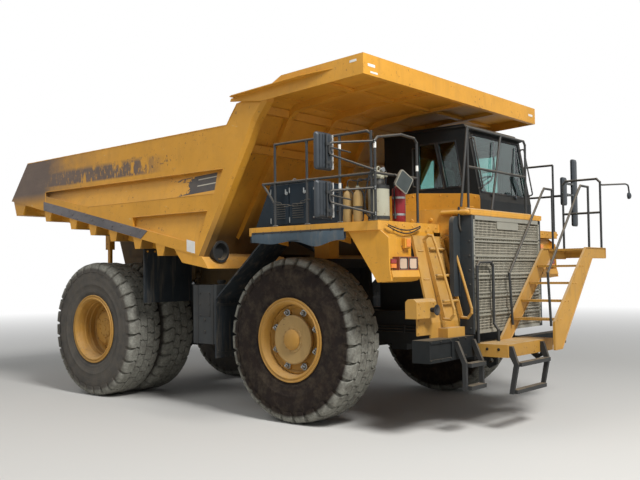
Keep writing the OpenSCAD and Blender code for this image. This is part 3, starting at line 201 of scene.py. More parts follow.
def bed_enamel(name, colours):
    """Alkyd enamel of the rock bed, sprayed on steel plate and scoured by rock."""
    # Satin and faded where it is left. Rock has scoured the tail and the inside to brown, duller steel
    enamel, dust, steel = tuple(colours.enamel), tuple(colours.dust), tuple(colours.steel)
    material, shader, node, where = new_material(name, IOR=1.5, Specular_IOR_Level=0.35)
    x, y, z = (node("SeparateXYZ", where, out=k) for k in "XYZ")
    wide = node("Math", y, operation="ABSOLUTE")
    outside = node("MapRange", wide, 2.4, 2.45)
    # Sun-faded patches about 1.7 m across, and a finer mottle of 170 mm
    fade = node("MapRange", node("TexNoise", where, Scale=0.6, Detail=3, Roughness=0.6), 0.34, 0.66)
    body = node("MixRGB", fade, tone(enamel, 0.86), tone(enamel, 1.08, 0.008))
    mottle = node("TexNoise", where, Scale=6, Detail=6, Roughness=0.7)
    body = node("MixRGB", node("MapRange", mottle, 0.45, 0.8, 0.0, 0.45), body, tone(enamel, 0.75))
    # Grime bands down the sides, 100 to 200 mm wide
    drawn = node("TexNoise", node("Mapping", where, Scale=(6, 6, 0.6)), Scale=1, Detail=5, Roughness=0.7)
    patch = node("TexNoise", where, Scale=1.1, Detail=3, Roughness=0.6)
    run = node("MapRange", drawn, 0.5, 0.8, 0.0, node("MapRange", patch, 0.42, 0.6, 0.0, 0.35))
    body = node("MixRGB", run, body, tone(enamel, 0.40, 0.01))
    # Generic dark band on the forward panel of each side, flaked towards the tail, with two pale lines
    rise = node("Math", x, -0.055, z, operation="MULTIPLY_ADD")
    flake = node("TexNoise", node("Mapping", where, Scale=(0.8, 1, 1.6)), Scale=3.4, Detail=6, Roughness=0.7)
    flake = node("MapRange", node("Math", x, 0.42, flake, operation="MULTIPLY_ADD"), 0.54, 0.56, 0.0, outside)
    bars = within(node, x, AXLE_X - 2.88, AXLE_X - 2.86, AXLE_X - 1.40, AXLE_X - 1.39,
                  within(node, rise, 3.575, 3.580, 3.870, 3.875, flake))
    body = node("MixRGB", bars, body, linear("#23242c"))
    ahead = node("MapRange", x, AXLE_X - 1.84, AXLE_X - 1.83, 0.0, bars)
    for low in (3.690, 3.795):
        line = within(node, rise, low, low + 0.003, low + 0.017, low + 0.020, ahead)
        body = node("MixRGB", line, body, linear("#b9b3a2"))
    # Pale scuffs 30 to 150 mm long on the top band and the mid rail
    scrape = node("TexNoise", node("Mapping", where, Scale=(0.6, 1, 2.2)), Scale=7, Detail=5, Roughness=0.72)
    group = node("TexNoise", where, Scale=1.2, Detail=2, Roughness=0.6)
    scrape = node("MapRange", scrape, 0.66, 0.69, 0.0, node("MapRange", group, 0.50, 0.58, 0.0, outside))
    body = node("MixRGB", scrape, body, linear("#cdb88a"))
    # Rust spots 10 to 60 mm wide, in scattered groups
    shade = node("MapRange", node("TexNoise", where, Scale=30, Detail=4, Roughness=0.6), 0.35, 0.65)
    rust = node("MixRGB", shade, linear("#3b2115"), linear("#7c4a26"))
    group = node("MapRange", node("TexNoise", where, Scale=1.5, Detail=3, Roughness=0.6), 0.46, 0.60)
    spots = node("TexNoise", where, Scale=15, Detail=6, Roughness=0.72)
    body = node("MixRGB", node("MapRange", spots, 0.61, 0.65, 0.0, group), body, rust)
    # Chips 20 to 80 mm wide along the top band, ahead of the scuffed length
    chip = node("TexNoise", node("Mapping", where, Scale=(1, 1, 0.7)), Scale=8, Detail=5, Roughness=0.75)
    chip = node("MapRange", chip, 0.58, 0.62, 0.0, within(node, z, 4.08, 4.12, 4.34, 4.40, outside))
    chip = node("MapRange", x, AXLE_X - 1.9, AXLE_X - 2.6, 0.0, chip)
    body = node("MixRGB", chip, body, linear("#4a3a2c"))
    # The enamel browns towards the tail over its last two metres
    brown = node("MapRange", x, AXLE_X - 3.8, AXLE_X - 6.4, 0.0, 0.85)
    cloud = node("TexNoise", where, Scale=2.2, Detail=6, Roughness=0.7)
    brown = node("MapRange", cloud, 0.25, 0.7, 0.0, node("MapRange", z, 3.75, 4.05, 0.0, brown))
    body = node("MixRGB", brown, body, linear("#7a5f45"))
    # A belt of scuffed paint below the top rail, in blocks 250 mm long
    blocks = node("TexNoise", node("Mapping", where, Scale=(5.0, 1, 2.2)), Scale=1, Detail=3, Roughness=0.6)
    scuff = node("TexNoise", node("Mapping", where, Scale=(1.5, 1, 0.5)), Scale=14, Detail=5, Roughness=0.75)
    scuff = node("MapRange", scuff, 0.36, 0.46, 0.0, node("MapRange", blocks, 0.36, 0.42))
    scuff = within(node, z, 4.02, 4.06, 4.28, 4.36, node("MapRange", wide, 2.55, 2.60, 0.0, scuff))
    scuff = node("MapRange", x, AXLE_X - 2.6, AXLE_X - 3.4, 0.0, scuff)
    # Bare scoured plate: the tail, and everything that the rock slides over
    ragged = node("TexNoise", where, Scale=1.6, Detail=6, Roughness=0.7)
    ragged = node("Math", ragged, 2.2, node("Math", x, 1.1, operation="SUBTRACT"), operation="MULTIPLY_ADD")
    tail = node("MapRange", ragged, AXLE_X - 5.55, AXLE_X - 6.55, 0.0, node("MapRange", z, 3.70, 3.95))
    behind = node("Math", z, -0.6084, x, operation="MULTIPLY_ADD")
    above = node("Math", x, 0.21804, z, operation="MULTIPLY_ADD")
    floor = 2.221 + 0.21804 * AXLE_X
    inside = node("MapRange", behind, AXLE_X - 3.640, AXLE_X - 3.644)
    inside = node("MapRange", above, floor - 0.015, floor - 0.005, 0.0, inside)
    inside = node("MapRange", wide, 2.503, 2.507, inside, 0.0)
    high = node("MapRange", z, 4.95, 5.02, 1.0, 0.25)
    inside = node("Math", inside, high, operation="MULTIPLY")
    bare = node("Math", node("Math", tail, inside, operation="MAXIMUM"), scuff, operation="MAXIMUM")
    grain = node("TexNoise", node("Mapping", where, Scale=(0.35, 1, 1)), Scale=3, Detail=7, Roughness=0.7)
    plate_tone = node("MixRGB", node("MapRange", grain, 0.3, 0.5), tone(steel, 0.7), steel)
    plate_tone = node("MixRGB", node("MapRange", grain, 0.5, 0.75), plate_tone, tone(steel, 1.35))
    body = node("MixRGB", bare, body, plate_tone)
    # The wear plate along the lower edge is bare blue-grey steel
    wear = node("MapRange", wide, 2.6212, 2.6225, 0.0, node("MapRange", z, 3.90, 3.92, 1.0, 0.0))
    grain = node("TexNoise", node("Mapping", where, Scale=(0.4, 1, 1)), Scale=4, Detail=6, Roughness=0.7)
    ground = node("MixRGB", node("MapRange", grain, 0.3, 0.75), linear("#4b4a4e"), linear("#757072"))
    body = node("MixRGB", wear, body, ground)
    # Low faces that look down are painted dark: painted shade under the bed, together with road dirt
    facing = node("SeparateXYZ", node("TexCoord", out="Normal"), out="Z")
    under = node("MapRange", facing, -0.10, -0.5, 0.0, node("MapRange", z, 3.5, 2.9, 0.0, 0.88))
    body = node("MixRGB", under, body, linear("#2e271e"))
    body, dull = settle_dust(node, where, body, dust, 0.45, 0.45, 0.06)
    # Dents 450 mm across, and the orange peel of the film, drawn at 11 mm so that it shows
    dents = node("TexNoise", where, Scale=2.2, Detail=3, Roughness=0.6)
    peel = node("TexNoise", where, Scale=90, Detail=2, Roughness=0.6)
    dents = node("Bump", Strength=0.25, Distance=0.03, Height=node("Math", peel, 0.02, dents,
                                                                    operation="MULTIPLY_ADD"))
    fill(shader, Base_Color=body, Roughness=dull, Normal=dents)
    return material


def bare_metal(name, colour, roughness):
    """Bare steel, zinc-coated, silvered or hard chromed, drawn or ground."""
    # Drawing or grinding leaves a streaky roughness, which gives soft, uneven glints
    material, shader, node, where = new_material(name, Metallic=1.0)
    # Grain 30 mm long along the piece, with finer specks
    grain = node("TexNoise", where, Scale=36, Detail=6, Roughness=0.7)
    body = node("MixRGB", node("MapRange", grain, 0.3, 0.75), tone(colour, 0.72), colour)
    dull = node("MapRange", grain, 0.3, 0.7, roughness * 0.7, min(1, roughness * 1.5))
    fill(shader, Base_Color=body, Roughness=dull)
    return material


def tyre_rubber(name, colour, dust, centre_x, brown):
    """Vulcanised tyre rubber, moulded and weathered."""
    # Matt, its lug tops scuffed pale, its sidewall stained and banded
    material, shader, node, where = new_material(name, IOR=1.52, Roughness=0.9, Specular_IOR_Level=0.15)
    from_axle = node("Mapping", where, Location=(-centre_x, 0, -AXLE_Z), Scale=(1, 0, 1))
    radius = node("VectorMath", from_axle, operation="LENGTH", out="Value")
    stain = node("MapRange", node("TexNoise", where, Scale=3.5, Detail=6, Roughness=0.65), 0.32, 0.68)
    browned = tuple(0.6 * c + 0.4 * b for c, b in zip(colour, brown))
    body = node("MixRGB", stain, tone(colour, 0.8), browned)
    # Bands 40 to 80 mm wide round the sidewall, with dust in them
    rings = node("CombineXYZ", node("Math", radius, 15.0, operation="MULTIPLY"))
    rings = node("TexNoise", rings, Scale=1, Detail=4, Roughness=0.6)
    body = node("MixRGB", node("MapRange", rings, 0.45, 0.7, 0.0, 0.45), body, brown)
    # Dusty patches about 160 mm across
    cloud = node("TexNoise", where, Scale=6, Detail=7, Roughness=0.7)
    dusty = tuple(0.5 * c + 0.22 * d for c, d in zip(colour, dust))
    body = node("MixRGB", node("MapRange", cloud, 0.45, 0.75, 0.0, 0.55), body, dusty)
    # Lug faces are scuffed to a dry grey
    scuffed = node("MapRange", node("TexNoise", where, Scale=26, Detail=6, Roughness=0.75), 0.3, 0.7)
    scuffed = node("MixRGB", scuffed, linear("#6a6860"), linear("#9b9a90"))
    worn = node("MapRange", node("TexNoise", where, Scale=9, Detail=5, Roughness=0.6), 0.3, 0.55, 0.45, 1.0)
    body = node("MixRGB", node("MapRange", radius, 1.13, 1.17, 0.0, worn), body, scuffed)
    # Fine cuts and stone marks, drawn 12 mm apart so that they show
    cuts = node("TexNoise", where, Scale=80, Detail=5, Roughness=0.75)
    fill(shader, Base_Color=body, Normal=node("Bump", Strength=0.4, Distance=0.006, Height=cuts))
    return material


def sheet_rubber(name, colour, dust):
    """Calendered rubber sheet, weathered."""
    # Matt and blue-grey, with dust streaks down it 110 mm wide
    material, shader, node, where = new_material(name, IOR=1.52, Roughness=0.72, Specular_IOR_Level=0.25)
    cloud = node("MapRange", node("TexNoise", where, Scale=3, Detail=6, Roughness=0.65), 0.32, 0.7)
    body = node("MixRGB", cloud, tone(colour, 0.7), colour)
    streak = node("TexNoise", node("Mapping", where, Scale=(9, 9, 0.8)), Scale=1, Detail=5, Roughness=0.7)
    body = node("MixRGB", node("MapRange", streak, 0.5, 0.8, 0.0, 0.4), body, tone(dust, 0.7))
    # Calender marks and cracks, drawn 16 mm apart so that they show
    marks = node("TexNoise", where, Scale=60, Detail=4, Roughness=0.7)
    fill(shader, Base_Color=body, Normal=node("Bump", Strength=0.2, Distance=0.004, Height=marks))
    return material


def moulded_plastic(name, colour, roughness=0.5):
    """Injection-moulded plastic, such as ABS, or polycarbonate for the lenses."""
    # Soft highlights, broken by a fine spark-eroded grain
    material, shader, node, where = new_material(name, IOR=1.49, Roughness=roughness)
    cloud = node("MapRange", node("TexNoise", where, Scale=4, Detail=4, Roughness=0.6), 0.3, 0.8)
    body = node("MixRGB", cloud, colour, tone(colour, 1.3, 0.01))
    # The grain is drawn at 3 mm so that it shows
    grain = node("TexNoise", where, Scale=330, Detail=2, Roughness=0.6)
    fill(shader, Base_Color=body, Normal=node("Bump", Strength=0.12, Distance=0.001, Height=grain))
    return material


def woven_seat(name, colour):
    """Woven polyester seat cloth."""
    # Matt with a soft sheen. Its 2 mm yarns are drawn at 8 mm so that they show
    material, shader, node, where = new_material(name, IOR=1.46, Roughness=0.9, Sheen_Weight=0.3)
    warp, weft = (node("TexWave", where, Scale=40, Distortion=0.4, bands_direction=axis, out="Fac")
                  for axis in "XZ")
    yarn = node("Math", warp, weft, operation="MULTIPLY")
    body = node("MixRGB", node("MapRange", yarn, 0.1, 0.7), tone(colour, 0.7), colour)
    fill(shader, Base_Color=body, Normal=node("Bump", Strength=0.3, Distance=0.002, Height=yarn))
    return material


def tinted_glass(name, colour):
    """Laminated float glass, lightly green."""
    # Clear, with a faint film of dust that blurs it in patches 400 mm across
    material, shader, node, where = new_material(name, IOR=1.5, Transmission_Weight=1.0)
    film = node("TexNoise", where, Scale=2.4, Detail=5, Roughness=0.6)
    body = node("MixRGB", node("MapRange", film, 0.4, 0.8), colour, tone(colour, 0.85))
    fill(shader, Base_Color=body, Roughness=node("MapRange", film, 0.4, 0.8, 0.01, 0.10))
    return material


def make_materials(colours):
    """Every material of the truck, by the name of its record slot or of its extra finish."""
    dust, enamel = tuple(colours.dust), tuple(colours.enamel)
    primer, rust = linear("#6b5138"), linear("#5b3a24")
    # Slot or finish, name and colour, then roughness, dust, chips, grime, film of dust, gloss and clear coat
    enamels = (
        ("yellow_paint", "yellow_alkyd_enamel", enamel, 0.45, 0.55, primer, 0.5, 0.06, 0.35),
        ("worn_yellow", "yellow_enamel_worn", enamel, 0.5, 0.8, rust, 1.0, 0.16, 0.3),
        ("stair_yellow", "stair_enamel_worn", linear("#bd8a2d"), 0.5, 0.8, rust, 1.0, 0.16, 0.3),
        # The underbody enamel is the yellow painted dark brown: painted shade under the bed, with grime
        ("underbody", "underbody_enamel_grimy", linear("#54401f"), 0.6, 0.4, primer, 1.0, 0.04, 0.2),
        ("rim_paint", "rim_enamel_dusty", tuple(colours.rim), 0.5, 0.4, primer, 0.9, 0.12, 0.3),
        ("hub_face", "hub_face_enamel_dusty", linear("#a8874f"), 0.55, 0.4, primer, 0.8, 0.12, 0.3),
        ("frame_paint", "black_chassis_enamel", tuple(colours.chassis), 0.55, 0.4),
        ("engine_paint", "dark_grey_enamel", linear("#292e31"), 0.55, 0.45),
        ("grey_paint", "bumper_grey_enamel", linear("#14181a"), 0.6, 0.3, None, 0.2, 0.01, 0.1),
        ("grille_paint", "grille_grey_enamel", linear("#8f8d80"), 0.5, 0.5, None, 0.35, 0.06, 0.5, 0.12),
        ("wire_mesh", "galvanised_wire_mesh", linear("#cbc5b2"), 0.5, 0.5, None, 0.5, 0.15, 0.4),
        ("cheek_paint", "cheek_blue_grey_enamel", linear("#262e33"), 0.5, 0.45, None, 0.2, 0.03, 0.3),
        ("cab_paint", "black_cab_enamel", linear("#0d1214"), 0.45, 0.25, None, 0.2, 0.004, 0.15),
        ("rail_paint", "black_rail_enamel", linear("#1b2023"), 0.45, 0.4, None, 0.2, 0.03, 0.4),
        ("teal_paint", "blue_grey_cabinet_enamel", linear("#10202b"), 0.45, 0.3, None, 0.2, 0.008, 0.15),
        ("cream_paint", "cream_tank_enamel", linear("#aaa893"), 0.5, 0.5, primer, 0.35, 0.06, 0.5, 0.12),
        ("red_paint", "red_extinguisher_enamel", linear("#86101f"), 0.4, 0.3, None, 0.2, 0.02, 0.35, 0.05),
        ("lamp_frame", "oxide_red_frame_enamel", linear("#8a3f28"), 0.5, 0.4, None, 0.4, 0.1, 0.35),
    )
    made = {slot: dusty_enamel(name, colour, dust, *rest) for slot, name, colour, *rest in enamels}
    made["bed_paint"] = bed_enamel("bed_alkyd_enamel_worn", colours)
    for slot, maker, name, colour, *rest in (
            ("stage_paint", bare_metal, "zinc_coated_steel", "#a3a6a5", 0.38),
            ("rod_chrome", bare_metal, "hard_chrome_rod", "#c9cbcf", 0.12),
            ("mirror_glass", bare_metal, "silvered_mirror_glass", "#b9c4c6", 0.04),
            ("fender_rubber", sheet_rubber, "weathered_sheet_rubber", "#2b3136", dust),
            ("strip_rubber", sheet_rubber, "weathered_fender_strip", "#55646f", dust),
            ("hose_rubber", sheet_rubber, "black_hose_rubber", "#25272a", dust),
            ("window_glass", tinted_glass, "tinted_laminated_glass", "#a9cfca"),
            ("seat_cloth", woven_seat, "woven_polyester_cloth", "#3a3d42"),
            ("cab_trim", moulded_plastic, "moulded_abs_trim", "#2b2d30", 0.6),
            ("mirror_housing", moulded_plastic, "moulded_abs_mirror_housing", "#23292e", 0.45),
            ("reflector", moulded_plastic, "embossed_pvc_reflector_tape", "#d8d6cf", 0.3),
            ("lamp_lens", moulded_plastic, "moulded_polycarbonate_lens", "#c4ab93", 0.2),
            ("smoked_lens", moulded_plastic, "smoked_polycarbonate_lens", "#3a4140", 0.1),
            ("red_lens", moulded_plastic, "red_polycarbonate_lens", "#8c1f17", 0.25),
            ("amber_lens", moulded_plastic, "amber_polycarbonate_lens", "#d97a1e", 0.2)):
        made[slot] = maker(name, linear(colour), *rest)
    for slot, name, colour, x, brown in (
            ("tyre_rubber", "dusty_tyre_rubber_front", tuple(colours.rubber), AXLE_X, "#33271f"),
            ("rear_tyre", "dusty_tyre_rubber_rear", linear("#53514e"), REAR_X, "#6f685f")):
        made[slot] = tyre_rubber(name, colour, dust, x, linear(brown))
    return made


MATERIALS = {}


def put_material(obj, material):
    """Gives a whole object one material."""
    obj.data.materials.clear()
    obj.data.materials.append(material)


# Mesh building, in millimetres from the front axle's middle on the ground, until piece turns them to metres

def circle(centre, side, up, radius, count, shift=0.0):
    """Points evenly round a circle in the plane of two directions, moved on by a share of a step."""
    angles = [2 * math.pi * (k + shift) / count for k in range(count)]
    return [centre + (side * math.cos(t) + up * math.sin(t)) * radius for t in angles]


def loft(bm, rings, loop=False):
    """Skins a row of rings of points with quads. An open row gets its two ends closed."""
    made = [[bm.verts.new(p) for p in ring] for ring in rings]
    count = len(made[0])
    pairs = list(zip(made, made[1:]))
    if loop:
        pairs.append((made[-1], made[0]))
    for a, b in pairs:
        for i in range(count):
            j = (i + 1) % count
            bm.faces.new((a[i], a[j], b[j], b[i]))
    if not loop:
        bm.faces.new(list(reversed(made[0])))
        bm.faces.new(made[-1])


def plate(bm, outline, depth):
    """A flat plate, from its outline and the vector of its thickness."""
    near = [Vector(p) for p in outline]
    loft(bm, [near, [p + depth for p in near]])


def side_plate(bm, outline, y0, y1):
    """A plate that stands along the truck, its outline as (x, z)."""
    plate(bm, [(x, y0, z) for x, z in outline], Y * (y1 - y0))


def cross_plate(bm, outline, x0, x1):
    """A plate that stands across the truck, its outline as (y, z)."""
    plate(bm, [(x0, y, z) for y, z in outline], X * (x1 - x0))


def block(bm, lo, hi):
    """A cuboid between two opposite corners."""
    (a, b, c), (d, e, f) = lo, hi
    plate(bm, [(a, b, c), (d, b, c), (d, e, c), (a, e, c)], Z * (f - c))


def bent(points, radius, steps=5):
    """A path whose inner corners are rounded."""
    out = [points[0]]
    for a, b, c in zip(points, points[1:], points[2:]):
        into, away = a - b, c - b
        turn = into.angle(away, math.pi)
        reach = min(radius / max(math.tan(turn / 2), 1e-3), into.length * 0.45, away.length * 0.45)
        p, q = b + into.normalized() * reach, b + away.normalized() * reach
        for i in range(steps + 1):
            t = i / steps
            out.append(p * (1 - t) ** 2 + b * 2 * t * (1 - t) + q * t ** 2)
    out.append(points[-1])
    return out


def pipe(bm, points, radius, sides=8, bend=0, loop=False):
    """A round tube through points, its corners bent with the given radius."""
    path = [Vector(p) for p in points]
    if bend:
        path = bent(path, bend)
    side = (path[1] - path[0]).orthogonal().normalized()
    rings = []
    for i, p in enumerate(path):
        before = path[i - 1] if i or loop else p
        after = path[(i + 1) % len(path)] if i < len(path) - 1 or loop else p
        now = (after - before).normalized()
        side = (side - now * side.dot(now)).normalized()
        rings.append(circle(p, side, now.cross(side), radius, sides))
    loft(bm, rings, loop)


def turned(bm, profile, centre, axis, steps=64, loop=False):
    """A lathe-turned shape about an axis, its profile as (radius, place along the axis)."""
    side = axis.orthogonal().normalized()
    up = axis.cross(side)
    centre = Vector(centre)
    loft(bm, [circle(centre + axis * along, side, up, radius, steps) for radius, along in profile], loop)


def hex_head(bm, at, axis, across, height):
    """A hexagon bolt head with its washer, seated at a place and facing along the axis."""
    turned(bm, [(across * 0.85, -2), (across * 0.85, 3), (across * 0.8, 4)], at, axis, 14)
    r = across / math.sqrt(3)
    turned(bm, [(r, 2), (r, height * 0.8), (r * 0.8, height)], at, axis, 6)


def bolt_ring(bm, centre, axis, radius, count, across, height, turn=0.0):
    """Bolt heads evenly round a circle."""
    side = axis.orthogonal().normalized()
    for at in circle(centre, side, axis.cross(side), radius, count, turn):
        hex_head(bm, at, axis, across, height)


def piece(name, bm, slot, replaces=(), body="chassis", edge=0.0, angle=32, finish=None):
    """Makes the finished mesh an object in metres in the truck's frame, which rides on a body and takes its
    record slot's finish, or another."""
    bmesh.ops.recalc_face_normals(bm, faces=bm.faces)
    bm.transform(Matrix.Translation((AXLE_X, 0, 0)) @ Matrix.Scale(0.001, 4))
    if edge:
        sharp = [e for e in bm.edges if len(e.link_faces) == 2 and e.calc_face_angle(0) > math.radians(angle)]
        bmesh.ops.bevel(bm, geom=sharp, offset=edge / 1000, segments=1, profile=0.5, affect="EDGES",
                        clamp_overlap=True)
    mesh = bpy.data.meshes.new(name)
    bm.to_mesh(mesh)
    bm.free()
    mesh.shade_smooth()
    mesh.set_sharp_from_angle(angle=math.radians(angle))
    obj = bpy.data.objects.new(name, mesh)
    bpy.context.scene.collection.objects.link(obj)
    put_material(obj, MATERIALS[finish or slot])
    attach(obj, body)
    if replaces:
        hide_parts(*replaces)
    return obj


# Wheels

# Tyre casing from bead to crown, as (radius, distance from the tyre's middle)
CASING = [(579, 295), (602, 300), (650, 300), (670, 306), (685, 320), (705, 326), (722, 323), (780, 333),
          (830, 340), (836, 344), (852, 345), (860, 342), (930, 346), (990, 345), (1050, 340), (1090, 333),
          (1130, 320), (1163, 296), (1180, 260), (1192, 180), (1196, 90)]
# Stations of the inner and the outer tread lug from the tyre's middle outwards: place, half width and shift
# as shares of the pitch, then the radii of its top and its foot. Worn lugs stand close, with narrow grooves
INNER_LUG = [(7, 0.455, 0.00, 1257, 1195), (50, 0.468, 0.07, 1259.5, 1195), (100, 0.468, -0.05, 1259.5, 1192),
             (147, 0.455, 0.02, 1257.5, 1190)]
OUTER_LUG = [(158, 0.450, 0.05, 1257.5, 1188), (200, 0.455, -0.04, 1256, 1180),
             (245, 0.440, 0.05, 1251, 1165), (280, 0.415, 0.09, 1243, 1150), (312, 0.385, 0.11, 1226, 1125),
             (334, 0.365, 0.12, 1192, 1095), (345.5, 0.345, 0.12, 1138, 1080),
             (346.5, 0.330, 0.12, 1105, 1075)]
LUGS = 30
# The worn top of a lug lies up to 4 mm deeper, and its chamfer is 8 mm high
WEAR, CHAMFER = 4, 8


def add_tyre(bm, centre, turn, rng):
    """One off-road tyre: its casing with rim guard and side bands, and two rows of deep staggered lugs."""
    turned(bm, CASING + [(r, -y) for r, y in reversed(CASING)], centre, Y, 112, True)
    pitch = 2 * math.pi / LUGS
    for side in (-1, 1):
        for k in range(LUGS):
            for lug, stagger in ((INNER_LUG, 0.25), (OUTER_LUG, -0.25)):
                mid = turn + pitch * (k + stagger * side)
                worn = rng.uniform(-WEAR, 0)
                rings = []
                for place_y, half, shift, top, foot in lug:
                    half += rng.uniform(-0.006, 0.006)
                    top += worn
                    brim = top - CHAMFER
                    ring = []
                    # Across the lug: its foot, the lower edge of the chamfer and the top, then back down
                    for share, r in ((-1.04, foot), (-1.0, brim), (-0.95, top),
                                     (0.95, top), (1.0, brim), (1.04, foot)):
                        t = mid + pitch * (shift * side + share * half)
                        ring.append(centre + Vector((r * math.cos(t), side * place_y, r * math.sin(t))))
                    rings.append(ring)
                loft(bm, rings)


def add_rim_barrel(bm, centre, out):
    """Rolled rim barrel with its flanges, side ring and lock ring. Out is the side that faces away."""
    flange = [(577.5, 290), (577.5, 301), (600, 301.2), (634, 301.4), (640, 308), (640, 320), (634, 327.5),
              (622, 327.5), (612, 320), (600, 316), (590, 322), (585, 331), (575, 332.5), (566, 327),
              (560, 316), (553, 310), (545, 300), (540, 280)]
    inside = [(531, 240), (531, -240), (545, -300), (585, -326), (622, -327.5), (640, -318), (640, -308),
              (634, -301.4), (577.5, -301), (577.5, -290)]
    turned(bm, [(r, out * y) for r, y in flange + inside], centre, Y, 112, True)


class TRUCK_OT_tyres(bpy.types.Operator):
    """Builds the six off-road tyres over the plain ones of the frame"""
    bl_idname = "truck.tyres"
    bl_label = "Tyres"

    def execute(self, context):
        rng = random.Random(11)
        for side, word in ((-1, "right"), (1, "left")):
            bm = bmesh.new()
            add_tyre(bm, Vector((0, side * FRONT_TYRE_Y, HUB_Z)), 0.04, rng)
            piece("front_tyre_" + word, bm, "tyre_rubber", ("tyre_front_" + word,), "wheel_front_" + word,
                  angle=40)
            bm = bmesh.new()
            for y, turn in ((OUTER_TYRE_Y, 0.01), (INNER_TYRE_Y, 0.06)):
                add_tyre(bm, Vector((REAR_HUB_X, side * y, HUB_Z)), turn, rng)
            piece("rear_tyres_" + word, bm, "tyre_rubber", ("tyres_rear_" + word,), "wheels_rear_" + word,
                  angle=40, finish="rear_tyre")
        return {"FINISHED"}


class TRUCK_OT_rims(bpy.types.Operator):
    """Builds the rims with their lock rings, hub faces, clamps and bolts"""
    bl_idname = "truck.rims"
    bl_label = "Rims and hubs"

    def execute(self, context):
        for side, word in ((-1, "right"), (1, "left")):
            self.add_front(side, word, context.scene.truck_sizes.bolt * 1000)
            self.add_rear(side, word)
        return {"FINISHED"}

    def add_front(self, side, word, nut):
        centre = Vector((0, side * FRONT_TYRE_Y, HUB_Z))
        out = Y * side
        body = "wheel_front_" + word
        # Rim, with the wheel disc and its raised ring inside the barrel
        rim, nuts, face, cap = (bmesh.new() for _ in range(4))
        add_rim_barrel(rim, centre, side)
        turned(rim, [(530.5, 145), (520, 165), (500, 170), (485, 150), (470, 132), (420, 128), (300, 128),
                     (230, 100), (176, 100), (176, -100), (300, -100), (380, 80), (530.5, 105)], centre, out,
               96, True)
        bolt_ring(rim, centre + out * 166, out, 508, 16, 26, 14, 0.5)
        # Eight clamps that hold the rim, each with a stud and its large nut
        for ray in circle(Vector(), X, Z, 1, 8, 0.5):
            along = ray.cross(out)
            at = centre + ray * 437 + out * 129
            corners = [at + along * a + ray * r for a, r in ((-52, -36), (52, -36), (62, 36), (-62, 36))]
            loft(rim, [corners, [p + out * 22 for p in corners],
                       [at + (p - at) * 0.78 + out * 34 for p in corners]])
            at += out * 33
            hex_head(nuts, at, out, nut * 1.9, 45)
            turned(nuts, [(nut * 0.5, 40), (nut * 0.5, 62), (nut * 0.4, 68), (0, 68)], at, out, 14)
        # Round hub face with its stepped brim, and the cap in its middle
        turned(face, [(330, 120), (345, 150), (366, 185), (374, 222), (370, 236), (352, 241), (345, 238.5),
                      (196, 240), (192, 247), (170, 249), (120, 249), (120, 120)], centre, out, 96, True)
        bolt_ring(face, centre + out * 248.5, out, 181, 12, 18, 10)
        turned(cap, [(156, 240), (156, 262), (150, 270), (120, 288), (70, 297), (4, 299)], centre, out)
        bolt_ring(cap, centre + out * 272, out, 133, 8, 14, 8)
        piece("front_rim_" + word, rim, "rim_paint", ("rim_front_" + word,), body, angle=28)
        piece("front_rim_nuts_" + word, nuts, "stage_paint", body=body)
        piece("front_hub_face_" + word, face, "rim_paint", body=body, angle=28, finish="hub_face")
        piece("front_hub_cap_" + word, cap, "rim_paint", body=body, angle=28)

    def add_rear(self, side, word):
        centre, inner = (Vector((REAR_HUB_X, side * y, HUB_Z)) for y in (OUTER_TYRE_Y, INNER_TYRE_Y))
        out = Y * side
        bm = bmesh.new()
        add_rim_barrel(bm, centre, side)
        add_rim_barrel(bm, inner, -side)
        # Deep dish, its stepped wall seen from outside, and the drum between the two rims
        turned(bm, [(530.5, 235), (524, 215), (520, 150), (508, 135), (505, 50), (492, 30), (488, -60),
                    (470, -80), (440, -88), (300, -88), (300, -130), (432, -140), (432, -860), (530.5, -860),
                    (530.5, -120)], centre, out, 96, True)
        bolt_ring(bm, centre - out * 87.5, out, 415, 30, 24, 20)
        # Final drive cover, with its bolted flange and the three-lobed face
        turned(bm, [(385, -100), (385, -40), (378, -32), (345, -30), (335, -12), (318, 12), (285, 30),
                    (200, 38), (186, 36), (178, 52), (160, 56), (55, 58), (50, 66), (3, 68)], centre, out,
               96)
        bolt_ring(bm, centre - out * 31, out, 362, 24, 24, 18)
        bolt_ring(bm, centre + out * 56.5, out, 140, 10, 18, 10)
        for lobe in circle(centre, X, Z, 245, 3, 0.25):
            turned(bm, [(50, 10), (50, 41), (44, 47), (10, 48)], lobe, out, 20)
        # Valve stem
        valve = centre + Vector((400, 0, 300))
        pipe(bm, [valve - out * 70, valve + out * 160], 9, 10)
        piece("rear_rims_" + word, bm, "rim_paint", ("rims_rear_" + word,), "wheels_rear_" + word, angle=28)


# Nose

